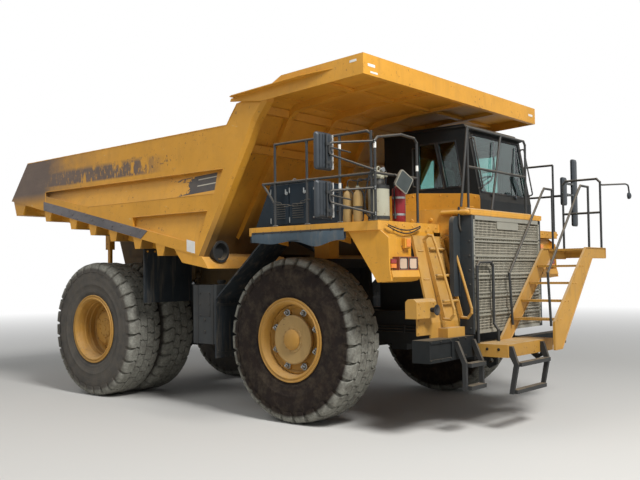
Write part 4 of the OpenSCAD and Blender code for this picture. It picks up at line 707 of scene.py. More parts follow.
class TRUCK_OT_grille(bpy.types.Operator):
    """Builds the radiator guard: wire mesh between double bars, its frame, the cheeks and the core behind"""
    bl_idname = "truck.grille"
    bl_label = "Radiator guard"

    def execute(self, context):
        pitch = context.scene.truck_sizes.mesh * 1000
        low, top, half, front = 1360, 3080, 1085, 2440
        bars, mesh, core, cheeks = (bmesh.new() for _ in range(4))
        # Double bars with the short ties between them
        for i in range(1, 6):
            z = low + 18 + i * 271
            for k in (-40, 14):
                side_plate(bars, [(front - 30, z + k), (front - 2, z + k), (front, z + k + 3),
                                  (front, z + k + 21), (front - 2, z + k + 24), (front - 30, z + k + 24)],
                           -half, half)
            for j in range(-10, 11):
                block(bars, (front - 26, j * 103 - 5, z - 17), (front - 8, j * 103 + 5, z + 15))
        # Frame strips with their bolts, and the bare plate in the top band
        for y0, y1 in ((-half - 2, -half + 42), (half - 42, half + 2)):
            block(bars, (front - 34, y0, low), (front, y1, top))
        for z0, z1 in ((low, low + 46), (top - 62, top)):
            block(bars, (front - 34, -half, z0), (front, half, z1))
        cross_plate(bars, [(-335, top - 182), (335, top - 182), (350, top - 165), (350, top - 60),
                           (-350, top - 60), (-350, top - 165)], front - 30, front - 8)
        for y in (-half + 20, half - 20):
            for i in range(12):
                hex_head(bars, (front, y, low + 60 + i * 144), X, 20, 8)
        # Square wire mesh, its wires drawn 8 mm thick so that they show
        x, wire, wide = front - 27, 4, half - 38
        count = int(2 * wide / pitch)
        for i in range(count + 1):
            y = -wide + i * 2 * wide / count
            pipe(mesh, [(x, y, low + 40), (x, y, top - 55)], wire, 4)
        rows = int((top - low - 95) / pitch)
        for i in range(rows + 1):
            z = low + 42 + i * (top - low - 99) / rows
            pipe(mesh, [(x + 3, -wide, z), (x + 3, wide, z)], wire, 4)
        # Cooling core with its upright fins behind the mesh
        block(core, (front - 110, -half + 6, low + 6), (front - 96, half - 6, top - 6))
        for i in range(72):
            y = -half + 16 + i * (2 * half - 32) / 71
            block(core, (front - 97, y - 4, low + 10), (front - 84, y + 4, top - 10))
        for z in (low + 560, low + 1130):
            block(core, (front - 97, -half + 8, z - 22), (front - 78, half - 8, z + 22))
        # Side cheeks: folded sheet with a rounded upper corner, a rib down its face and bolts
        for side in (-1, 1):
            side_plate(cheeks, [(2142, low), (front - 1, low), (front - 1, top), (2262, top), (2228, 3050),
                                (2190, 3000), (2150, 2930), (2142, 2900)], side * (half + 1),
                       side * (half + 48))
            side_plate(cheeks, [(2165, low + 30), (2225, low + 30), (2225, 2890), (2185, 2890)],
                       side * (half + 47), side * (half + 53))
            for z in range(low + 80, 2900, 210):
                hex_head(cheeks, (2395, side * (half + 48), z), Y * side, 20, 9)
        # Narrow dark box beside the right cheek, behind the ladder
        cross_plate(cheeks, [(-1326, 1905), (-1140, 1905), (-1140, 3066), (-1240, 3066), (-1290, 3048),
                             (-1318, 3008), (-1326, 2950)], 2176, 2246)
        piece("grille_bars", bars, "grille_paint", ("grille",), edge=2)
        piece("grille_mesh", mesh, "grille_paint", finish="wire_mesh")
        piece("cooling_core", core, "frame_paint")
        piece("grille_cheeks", cheeks, "grille_paint", edge=6, finish="cheek_paint")
        return {"FINISHED"}


class TRUCK_OT_hood(bpy.types.Operator):
    """Adds the hood's rolled lip, panel seams, latches, and the hinged hatch on its top"""
    bl_idname = "truck.hood"
    bl_label = "Hood trim"

    def execute(self, context):
        bm = bmesh.new()
        # Rolled lip round the front and both sides, as one bent tube
        y, z = 1168, 3128
        pipe(bm, [(1960, -y, z), (2412, -y, z), (2412, y, z), (1960, y, z)], 36, 16, 60)
        for side in (-1, 1):
            # Raised seams of the side doors, and their round latches
            for x in (620, 1270, 1900):
                block(bm, (x, side * 1139, 2890), (x + 14, side * 1143, 3150))
            for x in (760, 1130, 1420, 1760):
                turned(bm, [(30, 0), (30, 12), (22, 18), (10, 18)], (x, side * 1140, 3040), Y * side, 20)
        # Hatch on the top, with hinges and a lifting bow
        block(bm, (1500, -980, 3193), (2200, -250, 3204))
        for y in (-850, -380):
            pipe(bm, [(1495, y - 60, 3208), (1495, y + 60, 3208)], 14, 12)
        pipe(bm, [(2150, -680, 3200), (2150, -680, 3245), (2150, -550, 3245), (2150, -550, 3200)], 8, bend=20)
        piece("hood_trim", bm, "yellow_paint", edge=3)
        return {"FINISHED"}


def tread(bm, x0, x1, y0, y1, z, bars):
    """One plank of open grating: folded side rails, long bars and raised cross bars, its top at z."""
    for a, b in ((y0, y0 + 8), (y1 - 8, y1)):
        block(bm, (x0, a, z - 34), (x1, b, z - 1))
    for x in (x0, x1 - 8):
        block(bm, (x, y0, z - 34), (x + 8, y1, z - 1))
    for i in range(1, 5):
        y = y0 + (y1 - y0) * i / 5
        block(bm, (x0, y - 3, z - 28), (x1, y + 3, z - 2))
    for i in range(1, bars):
        x = x0 + (x1 - x0) * i / bars
        block(bm, (x - 5, y0, z - 20), (x + 5, y1, z))


def stair_y(z):
    """The inner stringer's upper edge at a height."""
    return -332 + (z - 1290) * 1.1


class TRUCK_OT_stairs(bpy.types.Operator):
    """Builds the stairs with folded stringers and open gratings, and the landing at their top"""
    bl_idname = "truck.stairs"
    bl_label = "Stairs and landing"

    def execute(self, context):
        bars = context.scene.truck_sizes.grating
        bm = bmesh.new()
        inner, outer, top, end = 2450, 3150, 2620, 2020
        foot = 1230
        # Stringers: a web with flanges along both edges
        webs = (
            (inner, [(stair_y(foot), foot + 1), (stair_y(top), top), (end, top), (end, top - 158),
                     (1382, top - 158), (stair_y(foot) + 320, foot + 1)]),
            (outer, [(-40, 1092), (-40, 1500), (stair_y(top) + 60, top), (end, top), (end, top - 158),
                     (1440, top - 158), (200, 1092)]),
        )
        for x, outline in webs:
            cross_plate(bm, outline, x + 14, x + 26)
            for (a, b), (c, d) in zip(outline, outline[1:] + outline[:1]):
                run = math.hypot(c - a, d - b)
                ny, nz = (d - b) / run * 10, -(c - a) / run * 10
                cross_plate(bm, [(a, b), (c, d), (c - ny, d - nz), (a - ny, b - nz)], x + 1, x + 39)
        # Four treads, bolted to both stringers
        for i in range(4):
            z = 1545 + i * 268
            y = stair_y(z) + 70
            tread(bm, inner + 30, outer + 10, y, y + 220, z, bars)
            for x, way in ((inner + 14, -X), (outer + 26, X)):
                for k in (50, 170):
                    hex_head(bm, (x, y + k, z - 18), way, 22, 10)
        # Landing, and the step back to the deck
        for k in range(3):
            y = 1345 + k * 226
            tread(bm, inner + 30, outer + 10, y, y + 216, top, bars)
        for k in range(4):
            y = 1170 + k * 213
            tread(bm, 2044, inner - 4, y, y + 206, top, 9)
        for y0 in (1166, end - 14):
            block(bm, (2043, y0, top - 128), (inner + 1, y0 + 12, top - 30))
        block(bm, (inner + 26, end - 14, top - 150), (outer + 20, end - 2, top - 8))
        piece("stairs_and_landing", bm, "yellow_paint", ("stairs",), edge=1.5, finish="stair_yellow")
        return {"FINISHED"}


class TRUCK_OT_platform(bpy.types.Operator):
    """Adds the front platform's non-slip top and its skirt's bolts, and the bumper's bolts and tow eyes"""
    bl_idname = "truck.platform"
    bl_label = "Front platform and bumper"

    def execute(self, context):
        lo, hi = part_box("front_platform")
        x0, x1 = ((v - AXLE_X) * 1000 for v in (lo.x, hi.x))
        y0, y1, z = lo.y * 1000, hi.y * 1000, hi.z * 1000
        lozenges, bolts = bmesh.new(), bmesh.new()
        # Raised non-slip lozenges, 62 mm apart, clear of the stairs' foot and the corner post
        step, foot = 62, stair_y(1230)
        for i in range(int((x1 - x0 - 60) / step)):
            for j in range(int((y1 - y0 - 60) / step)):
                cx, cy = x0 + 45 + i * step, y0 + 45 + j * step + (31 if i % 2 else 0)
                under_stairs = foot - 60 < cy < foot + 360 and cx < 2520
                if under_stairs or abs(cx - 2490) < 60 and cy < y0 + 90:
                    continue
                loft(lozenges, [[(cx + a, cy, z + h), (cx, cy + b, z + h), (cx - a, cy, z + h),
                                 (cx, cy - b, z + h)] for a, b, h in ((16, 6, -0.5), (10, 3, 2.5))])
        # Bolts of the skirt and of the bumper's right end, and the rings of the two tow eyes
        for x in range(int(x0) + 60, int(x1) - 30, 180):
            hex_head(bolts, (x, y0 + 0.5, z - 70), -Y, 26, 12)
        for y in (-2340, -2090, -1840, -1600, -1400):
            for low in (1080, 1322):
                hex_head(bolts, (2480 if y < -1800 else 2460, y, low), X, 28, 12)
        for side in (-1, 1):
            turned(bolts, [(60, -34), (62, 34), (37, 34), (37, -34)], (2535, side * 778, 965), Y, 32, True)
        piece("platform_lozenges", lozenges, "yellow_paint", finish="stair_yellow")
        piece("platform_and_bumper_bolts", bolts, "grey_paint")
        return {"FINISHED"}


class TRUCK_OT_ladder(bpy.types.Operator):
    """Adds the ladder's knurled rung sleeves and bolts, and the fittings of the plates beside it"""
    bl_idname = "truck.ladder"
    bl_label = "Right ladder fittings"

    def execute(self, context):
        bm = bmesh.new()
        # Knurled sleeve over each rung, its rings 16 mm apart
        for z in (2591, 2209, 1846):
            rings = [(21.5 if k % 2 else 18.5, k * 16) for k in range(23)]
            turned(bm, rings, (2000 + (2730 - z) * 0.272, -1640, z), Y, 16)
        for y in (-1700, -1220):
            for x, z in ((1985, 2700), (2296, 1612)):
                hex_head(bm, (x, y - 8, z), -Y, 24, 10)
                hex_head(bm, (x, y + 8, z), Y, 24, 10)
        # Bolts of the plates beside the ladder
        for x, y, z in ((2330, -2380, 1700), (2330, -2380, 1840), (2330, -2020, 1700), (2330, -2020, 1840),
                        (2232, -2250, 1440), (2232, -2250, 1600)):
            hex_head(bm, (x, y, z), X, 24, 10)
        # Two short pins on the big plate behind the ladder
        for x, z in ((2012, 2560), (2102, 2160)):
            pipe(bm, [(x, -1900, z), (x, -1760, z)], 10)
        piece("ladder_fittings", bm, "yellow_paint", finish="stair_yellow")
        return {"FINISHED"}


class TRUCK_OT_lamps(bpy.types.Operator):
    """Builds the paired head lamps in their painted frames, the indicators and the small lamps above"""
    bl_idname = "truck.lamps"
    bl_label = "Lamps"

    def execute(self, context):
        housing, cover, lens, red, amber, frames = (bmesh.new() for _ in range(6))
        for s in (-1, 1):
            for y in (2300, 2062):
                self.add_square_lamp(housing, lens, Vector((2048, s * y, 2384)))
            # Red painted frame round the pair
            for z0, z1 in ((2291, 2303), (2466, 2477)):
                block(frames, (1937, s * 1950, z0), (2049, s * 2412, z1))
            for y in (1950, 2180, 2400):
                block(frames, (1937, s * y, 2296), (2049, s * (y + 11), 2470))
            # Indicator, and the small lamp above on its bracket
            block(housing, (1936, s * 2443, 2312), (2010, s * 2587, 2448))
            block(red, (2009, s * 2453, 2385), (2034, s * 2577, 2440))
            block(amber, (2009, s * 2453, 2320), (2034, s * 2577, 2380))
            block(cover, (1936, s * 2043, 2593), (2002, s * 2187, 2742))
            block(amber, (2001, s * 2065, 2612), (2012, s * 2165, 2724))
        piece("lamp_housings", housing, "frame_paint", ("lamps",), edge=6)
        piece("top_lamp_covers", cover, "yellow_paint", edge=8)
        piece("lamp_lenses", lens, "lamp_lens")
        piece("lamp_frames", frames, "red_paint", edge=3, finish="lamp_frame")
        piece("indicator_red", red, "red_paint", edge=3, finish="red_lens")
        piece("indicator_lenses", amber, "lamp_lens", edge=4, finish="amber_lens")
        return {"FINISHED"}

    def add_square_lamp(self, housing, lens, at):
        """A square sealed lamp: its housing with a bezel, and a fluted lens."""
        w, h = 108, 88
        rings = []
        for x, s in ((-108, 0.72), (-60, 0.96), (-6, 1.0), (0, 0.98), (1, 0.84), (-12, 0.80)):
            ring = []
            for k in range(24):
                # A rounded square, as a circle of the sixth power
                t = 2 * math.pi * (k + 0.5) / 24
                c, d = math.cos(t), math.sin(t)
                p = (abs(c) ** 6 + abs(d) ** 6) ** (-1 / 6)
                ring.append(at + Vector((x, c * p * w * s, d * p * h * s)))
            rings.append(ring)
        loft(housing, rings)
        low = -h * 0.76
        for k in range(13):
            y = (k - 6) * 12.5
            flute = ((-12, y - 6, low), (-12, y + 6, low), (-4, y, low))
            plate(lens, [at + Vector(p) for p in flute], Z * (-2 * low))


# Decks, rails and what stands on them

# Height of the decks' tops
DECK = 2965


def strap(bm, centre, axis, radius, width=45, thick=4):
    """A flat band drawn tight round a cylinder."""
    half, brim = width / 2, radius + thick
    turned(bm, [(radius, -half), (brim, -half), (brim, half), (radius, half)], centre, axis, 40, True)


class TRUCK_OT_decks(bpy.types.Operator):
    """Lays the non-slip plates on both decks, with the gussets under their edges and the front bolts"""
    bl_idname = "truck.decks"
    bl_label = "Deck plates, gussets and bolts"

    def execute(self, context):
        plates, trim, bolts = (bmesh.new() for _ in range(3))
        for side, x1, y0, front in ((-1, 1880, 1180, 1960.5), (1, 2020, 2130, 2100.5)):
            x0, count = -490, 4
            for k in range(count):
                a = x0 + (x1 - x0) * k / count + 6
                b = x0 + (x1 - x0) * (k + 1) / count - 6
                self.chequer(plates, a, b, *sorted((side * y0, side * 2640)))
            # Bolts of the edge angle, along the front
            for k in range(7):
                hex_head(bolts, (front, side * (1330 + k * 205), 2905), X, 24, 12)
            # Gussets behind the outer edge
            for x in (-260, 420, 980, 1300):
                edge, web = side * 2600, side * 2100
                cross_plate(trim, [(edge, 2842), (edge, 2770), (web, 2690), (web, 2842)], x - 6, x + 6)
        piece("deck_non_slip_plates", plates, "yellow_paint")
        piece("deck_gussets", trim, "yellow_paint", edge=2)
        piece("deck_bolts", bolts, "yellow_paint")
        return {"FINISHED"}

    def chequer(self, bm, x0, x1, y0, y1):
        """One plate with raised lozenges, drawn 110 mm apart so that they show."""
        block(bm, (x0, y0, DECK - 1), (x1, y1, DECK + 4))
        nx, ny = int((x1 - x0) / 110), int((y1 - y0) / 110)
        for i in range(nx):
            for j in range(ny):
                middle = Vector((x0 + (i + 0.5) * (x1 - x0) / nx, y0 + (j + 0.5) * (y1 - y0) / ny, DECK + 3))
                a, b = (34, 11) if (i + j) % 2 else (11, 34)
                base = [middle - X * a, middle - Y * b, middle + X * a, middle + Y * b]
                loft(bm, [base, [p.lerp(middle, 0.35) + Z * 5 for p in base]])


class TRUCK_OT_rail_fittings(bpy.types.Operator):
    """Adds the foot plates, weld collars and pale tape bands of the deck rails, the bands partly painted
    highlights, and the safety chain
    """
    bl_idname = "truck.rail_fittings"
    bl_label = "Rail fittings and chain"

    def execute(self, context):
        bm, bolts, bands = (bmesh.new() for _ in range(3))
        right, left, tube = -2665, 2660, 19.5
        posts = [(x, right) for x in (0, 631, 1240, 1788, 1850)] + [(1850, -1640)]
        posts += [(x, left) for x in (-300, 480, 1240, 2000)]
        for x, y in posts:
            # Foot plate set inwards, with two bolts, where there is room, and a weld collar
            if x < 1849:
                inwards = 1 if y < 0 else -1
                block(bm, (x - 50, y - inwards * 22, DECK), (x + 50, y + inwards * 24, DECK + 9))
                for dx in (-36, 36):
                    hex_head(bolts, (x + dx, y, DECK + 9), Z, 18, 10)
            turned(bm, [(tube, 0), (30, 0), (21.5, 12), (tube, 12)], (x, y, DECK + 9), Z, 20, True)
        # Weld collars where the rails run through the posts, and under the top rail
        for x, y in [(x, right) for x in (0, 631, 1240, 1788)] + [(x, left) for x in (480, 1240)]:
            turned(bm, [(tube, -26), (23.5, -18), (23.5, 18), (tube, 26)], (x, y, 3615), Z, 18, True)
        for x in (631, 1240):
            turned(bm, [(tube, -30), (23.5, -22), (23.5, 0), (tube, 0)], (x, right, 4180), Z, 18, True)
        # Safety chain across the gap at the rear of the right deck, its links turned by quarters
        for k in range(9):
            t = k / 8
            middle = Vector((-10 + 641 * t, right, 3330 - 70 * math.sin(math.pi * t)))
            pipe(bm, circle(middle, X * 52, (Z if k % 2 else Y) * 16, 1, 12), 5, 6, loop=True)
        # Bands of pale tape round the posts of the right front corner, which also stand in for painted
        # highlights on the glossy rails
        for x, y, z in ((1850, right, 3990), (1850, -1640, 3760), (1240, right, 4020), (1240, right, 3480)):
            turned(bands, [(tube, -40), (20.5, -40), (20.5, 40), (tube, 40)], (x, y, z), Z, 18, True)
        piece("rail_flanges", bm, "rail_paint")
        piece("rail_bolts", bolts, "stage_paint")
        piece("rail_tape_and_highlight_bands", bands, "rail_paint", finish="reflector")
        return {"FINISHED"}


def rounded(half_y, half_z, r, step, count):
    """A rectangle with rounded corners, as points about its middle, each corner in steps of some degrees."""
    out = []
    for sy, sz, start in ((1, 1, 0), (-1, 1, 90), (-1, -1, 180), (1, -1, 270)):
        for k in range(count):
            t = math.radians(start + step * k)
            out.append((sy * (half_y - r) + r * math.cos(t), sz * (half_z - r) + r * math.sin(t)))
    return out


class TRUCK_OT_mirrors(bpy.types.Operator):
    """Builds the mirrors: moulded housings, glass in its bezel, tube arms and clamps"""
    bl_idname = "truck.mirrors"
    bl_label = "Mirrors"

    def execute(self, context):
        shell, glass, arms, bolts, pale = (bmesh.new() for _ in range(5))
        post, tube = -2709, 14.9
        for z in (3880, 3240):
            self.head(shell, glass, (1420, 1490), (-3440, -3110), (z - 250, z + 250))
            # One tube looped from the post round the mirror's edge and back, and a short stay
            ends = (4038, 3652) if z > 3500 else (3406, 3058)
            pipe(arms, [(1850, post, ends[0]), (1500, -3215, z + 115), (1500, -3215, z - 40),
                        (1850, post, ends[1])], tube, 10, 60)
            pipe(arms, [(1500, -3215, z + 60), (1600, -2880, z + 10)], 11)
            # Upright bar on the housing's back, held by two clamps
            pipe(arms, [(1503, -3270, z - 235), (1503, -3270, z + 235)], 12)
            for dz in (-150, 95):
                block(arms, (1490, -3290, z + dz - 20), (1518, -3200, z + dz + 20))
            # Pale strip down the housing's inner edge, and ribs down its back
            block(pale, (1424, -3111, z - 232), (1486, -3105, z + 232))
            for k in range(4):
                y = -3400 + k * 66
                block(shell, (1488, y, z - 215), (1496, y + 14, z + 215))
            # Clamps on the post
            for c in ends:
                block(arms, (1829, post, c - 24), (1871, post + 24, c + 24))
                for dz in (-14, 14):
                    hex_head(bolts, (1871, post + 12, c + dz), X, 13, 8)
        # The low and the tall mirror before the left deck
        self.head(shell, glass, (2300, 2360), (2280, 2480), (3420, 3920))
        self.head(shell, glass, (2300, 2360), (2740, 2940), (3060, 4285))
        for z in (3600, 3800):
            block(arms, (2311, 2478, z + 1), (2349, 2742, z + 39))
            for y in (2500, 2720):
                hex_head(bolts, (2349, y, z + 20), X, 18, 10)
        block(arms, (2019.5, 2641, 3601), (2312, 2679, 3639))
        # Round convex mirror on its arm beyond the landing
        x, y = 3135, 1980
        pipe(arms, [(x, y + 19.4, 3700), (x, y + 100, 3700), (x, 3180, 3800), (x, 3330, 3790),
                    (x, 3380, 3625)], tube, 10, 60)
        turned(shell, [(10, 30), (34, 27), (54, 14), (59.8, -10), (59.8, -24), (52, -26)], (x, 3380, 3600),
               X, 32)
        turned(glass, [(51, -24), (30, -29), (0, -30)], (x, 3380, 3600), X, 32)
        piece("mirror_housings", shell, "mirror_housing", ("mirrors",), angle=40)
        piece("mirror_glasses", glass, "mirror_housing", finish="mirror_glass")
        piece("mirror_edges", pale, "mirror_housing", finish="reflector")
        piece("mirror_arms", arms, "rail_paint")
        piece("mirror_bolts", bolts, "stage_paint")
        return {"FINISHED"}

    def head(self, shell, glass, xs, ys, zs):
        """A housing with rounded corners and a domed back, its glass facing the rear."""
        cy, cz = sum(ys) / 2, sum(zs) / 2
        hy, hz = (ys[1] - ys[0]) / 2, (zs[1] - zs[0]) / 2
        rings = []
        for x, cut in ((xs[0], 6), (xs[0] + 12, 0), (xs[0] + 38, 0), (xs[1] - 10, 16), (xs[1], 46)):
            rings.append([(x, cy + y, cz + z) for y, z in rounded(hy - cut, hz - cut, 34, 22.5, 5)])
        loft(shell, rings)
        face = rounded(hy - 20, hz - 20, 24, 22.5, 5)
        loft(glass, [[(x, cy + y, cz + z) for y, z in face] for x in (xs[0] - 1.5, xs[0] + 4)])


class TRUCK_OT_deck_tanks(bpy.types.Operator):
    """Builds the suppression tank with its valves, bottles and hoses, and the extinguisher in its bracket"""
    bl_idname = "truck.deck_tanks"
    bl_label = "Suppression tank and extinguisher"

    def execute(self, context):
        tank, metal, hose, red, black, small, cast = (bmesh.new() for _ in range(7))
        self.add_tank(tank, metal, hose, black, small, cast)
        self.add_extinguisher(metal, hose, red, black)
        piece("suppression_tank_body", tank, "cream_paint", ("suppression_tank",))
        piece("extinguisher_body", red, "red_paint", ("extinguisher",))
        piece("agent_bottles", small, "cream_paint", finish="hub_face")
        piece("tank_head", cast, "cream_paint")
        piece("tank_valves", metal, "stage_paint")
        piece("tank_straps", black, "rail_paint")
        piece("tank_hoses", hose, "fender_rubber", finish="hose_rubber")
        return {"FINISHED"}

    def add_tank(self, tank, metal, hose, black, small, cast):
        base = Vector((1640, -2300, DECK))
        turned(tank, [(120, 0.3), (128, 12), (147.5, 30), (149.5, 50), (149.5, 470), (146, 492), (130, 506),
                      (0, 512)], base, Z, 56)
        strap(black, base + Z * 60, Z, 149.5)
        strap(black, base + Z * 485, Z, 145, 50, 6)
        turned(black, [(100, 500), (100, 530), (85, 560), (85, 600), (60, 630), (0, 630)], base, Z, 32)
        # Cast head of the tank: a lobed body with ports, under its lifting eye
        turned(cast, [(70, 600), (85, 620), (85, 660), (60, 690), (50, 720), (0, 730)], base, Z, 28)
        for k in range(5):
            t = 2 * math.pi * k / 5 + 0.4
            port = Vector((math.cos(t), math.sin(t), 0.25)).normalized()
            turned(cast, [(30, 50), (30, 100), (36, 105), (36, 122), (22, 128), (0, 128)], base + Z * 635,
                   port, 16)
        pipe(cast, circle(base + Z * 745, Y, Z, 36, 16), 10, loop=True)
        # Two slim tan bottles with their valves, each with a hose to the tank's head and one to the deck
        for x, y in ((1500, -2600), (1330, -2610)):
            foot = Vector((x, y, DECK))
            turned(small, [(58, 0), (64, 10), (64, 360), (52, 410), (22, 440), (18, 460), (0, 460)], foot, Z,
                   28)
            turned(cast, [(20, 450), (26, 460), (26, 500), (0, 500)], foot, Z, 14)
            strap(black, foot + Z * 200, Z, 64, 30)
            pipe(hose, [foot + Z * 490, foot + Z * 600, foot + Vector((100, 140, 580)),
                        base + Vector((0, -100, 640))], 10, bend=50)
            pipe(hose, [foot + Vector(p) for p in ((20, 0, 470), (120, -30, 400), (160, -20, 100),
                                                   (240, 20, 4))], 10, bend=80)
        # Valve block, gauge and cylinder head on the tank's neck
        neck = base + Z * 735
        turned(metal, [(12, 30), (12, 100), (20, 100), (20, 130), (0, 130)], neck, Y, 16)
        turned(metal, [(14, 30), (14, 60), (36, 62), (36, 90), (0, 92)], neck, X, 24)
        turned(metal, [(12, 30), (12, 110), (18, 110), (18, 140), (0, 140)], base + Z * 700, -Y, 16)
        # Two hoses down to the deck, behind the tank
        for run in (((0, -120, 700), (0, -200, 700), (-60, -230, 400), (-120, -220, 4)),
                    ((0, 120, 735), (0, 190, 740), (-50, 220, 400), (-100, 200, 4))):
            pipe(hose, [base + Vector(p) for p in run], 12, bend=90)

    def add_extinguisher(self, metal, hose, red, black):
        foot = Vector((1700, -1900, DECK))
        turned(red, [(80, 0.3), (86, 8), (94.5, 22), (94.5, 455), (90, 485), (70, 518), (42, 534), (30, 540),
                     (30, 556), (0, 556)], foot, Z, 48)
        # Valve with its two levers and the gauge
        turned(metal, [(22, 550), (26, 560), (26, 585), (18, 592), (18, 610), (0, 610)], foot, Z, 20)
        block(metal, (1692, -1905, 3548), (1708, -1820, 3558))
        plate(metal, [(1690, -1895, 3575), (1710, -1895, 3575), (1710, -1790, 3612), (1690, -1790, 3612)],
              Z * 4)
        turned(metal, [(0, 18), (16, 18), (16, 28), (0, 28)], foot + Z * 572, X, 18)
        # Hose with its horn
        run = [foot + Vector(p) for p in ((0, -24, 572), (0, -115, 560), (10, -115, 300), (10, -108, 160))]
        pipe(hose, run, 10, bend=60)
        turned(black, [(11, 0), (18, -60), (22, -100), (0, -100)], run[-1], Z, 16)
        # Bands, and the bracket behind
        for h in (120, 360):
            strap(metal, foot + Z * h, Z, 94.5, 30, 3)
            block(metal, (1686, -1806, DECK + h - 22), (1714, -1788, DECK + h + 22))
        block(metal, (1660, -1789, DECK + 0.3), (1740, -1783, 3440))
        block(metal, (1600, -1800, DECK + 0.3), (1800, -1783, DECK + 7))


class TRUCK_OT_cabinet(bpy.types.Operator):
    """Adds the doors, louvres, latches and lifting eyes of the deck cabinet, and the work lamp"""
    bl_idname = "truck.cabinet"
    bl_label = "Cabinet doors and work lamp"

    def execute(self, context):
        doors, metal, lamp, glass, arm = (bmesh.new() for _ in range(5))
        y = -2560
        # Two doors on the outer face, with louvres, hinges and latches
        for x0, x1 in ((-180, 180), (200, 540)):
            block(doors, (x0, y - 12, 2995), (x1, y + 2, 3595))
            for z in range(3080, 3290, 34):
                loft(doors, [[(x, y - 11, z), (x, y - 26, z), (x, y - 11, z + 22)]
                             for x in (x0 + 60, x1 - 60)])
            for z in (3060, 3500):
                turned(metal, [(9, -40), (9, 40)], (x0 + 6, y - 16, z), Z, 12)
            turned(metal, [(28, 0), (28, 6), (16, 14), (0, 14)], (x1 - 40, y - 12, 3460), -Y, 20)
            block(metal, (x1 - 50, y - 34, 3454), (x1 - 30, y - 20, 3520))
        # Rim of the roof, with two lifting eyes
        block(doors, (-186, -2566, 3608), (566, -1744, 3628))
        for y in (-2440, -1880):
            turned(metal, [(30, -5), (42, -5), (42, 5), (30, 5)], (190, y, 3652), X, 24, True)
            block(metal, (170, y - 8, 3626), (210, y + 8, 3634))
        # Bolted cover plate and a grab handle on the front face
        block(doors, (559, -2480, 3060), (567, -2020, 3540))
        for y in (-2450, -2250, -2050):
            for z in (3090, 3510):
                hex_head(metal, (567, y, z), X, 18, 10)
        pipe(arm, [(560, -1900, 3200), (620, -1900, 3200), (620, -1900, 3480), (560, -1900, 3480)], 11, 10,
             30)
        # Square work lamp hung on the corner rail, tilted towards the ground
        turn = Matrix.Rotation(math.radians(-24), 3, "X") @ Matrix.Rotation(math.radians(14), 3, "Y")
        centre = Vector((1900, -2080, 3531))

        def square(half, depth, r=30):
            return [centre + turn @ Vector((depth, y, 0.8 * z)) for y, z in rounded(half, half, r, 30, 4)]
        loft(lamp, [square(half, depth) for depth, half in ((-55, 70), (-35, 125), (0, 150), (28, 155))])
        loft(glass, [square(138, depth, 25) for depth in (26, 31)])
        for k in (-1, 1):
            pipe(arm, [centre + turn @ Vector((0, 160 * k, 0)), centre + Vector((-30, 165 * k, 100)),
                       (1850, -2045 + 60 * k, 3600)], 9, bend=30)
        turned(arm, [(19.3, -90), (26, -90), (26, 90), (19.3, 90)], (1850, -2045, 3615), Y, 18, True)
        piece("cabinet_doors", doors, "teal_paint", edge=3)
        piece("cabinet_latches", metal, "stage_paint")
        piece("work_lamp_housing", lamp, "mirror_housing", angle=40, finish="grille_paint")
        piece("work_lamp_glass", glass, "lamp_lens", finish="smoked_lens")
        piece("cabinet_handles", arm, "rail_paint")
        return {"FINISHED"}


# Cab

CAB_Y = (210, 2050)


def gasket(bm, outline, normal, wide=28, thick=12):
    """A rubber strip round a window opening, seated on the sheet and facing the normal."""
    points = [Vector(p) for p in outline]
    count = len(points)
    middle = sum(points, Vector()) / count
    rings = []
    for k, p in enumerate(points):
        before, after = points[k - 1], points[(k + 1) % count]
        a, b = (p - before).normalized(), (after - p).normalized()
        na, nb = a.cross(normal), b.cross(normal)
        if na.dot(p - middle) < 0:
            na, nb = -na, -nb
        corner = (na + nb).normalized() / max(0.3, math.cos(na.angle(nb, 0) / 2)) * wide
        outer, inner = p + corner * 0.7, p - corner * 0.3
        rings.append([outer - normal, outer + normal * thick * 0.6, (outer + inner) / 2 + normal * thick,
                      inner + normal * thick * 0.6, inner - normal * 4])
    loft(bm, rings, loop=True)


def front(y, z, lift=0):
    """A place on the cab's raked front, lifted off it."""
    return Vector((1850 - 210 * (z - 3430) / 1160, y, z)) + FRONT_OUT * lift


FRONT_OUT = Vector((1160, 0, 210)).normalized()


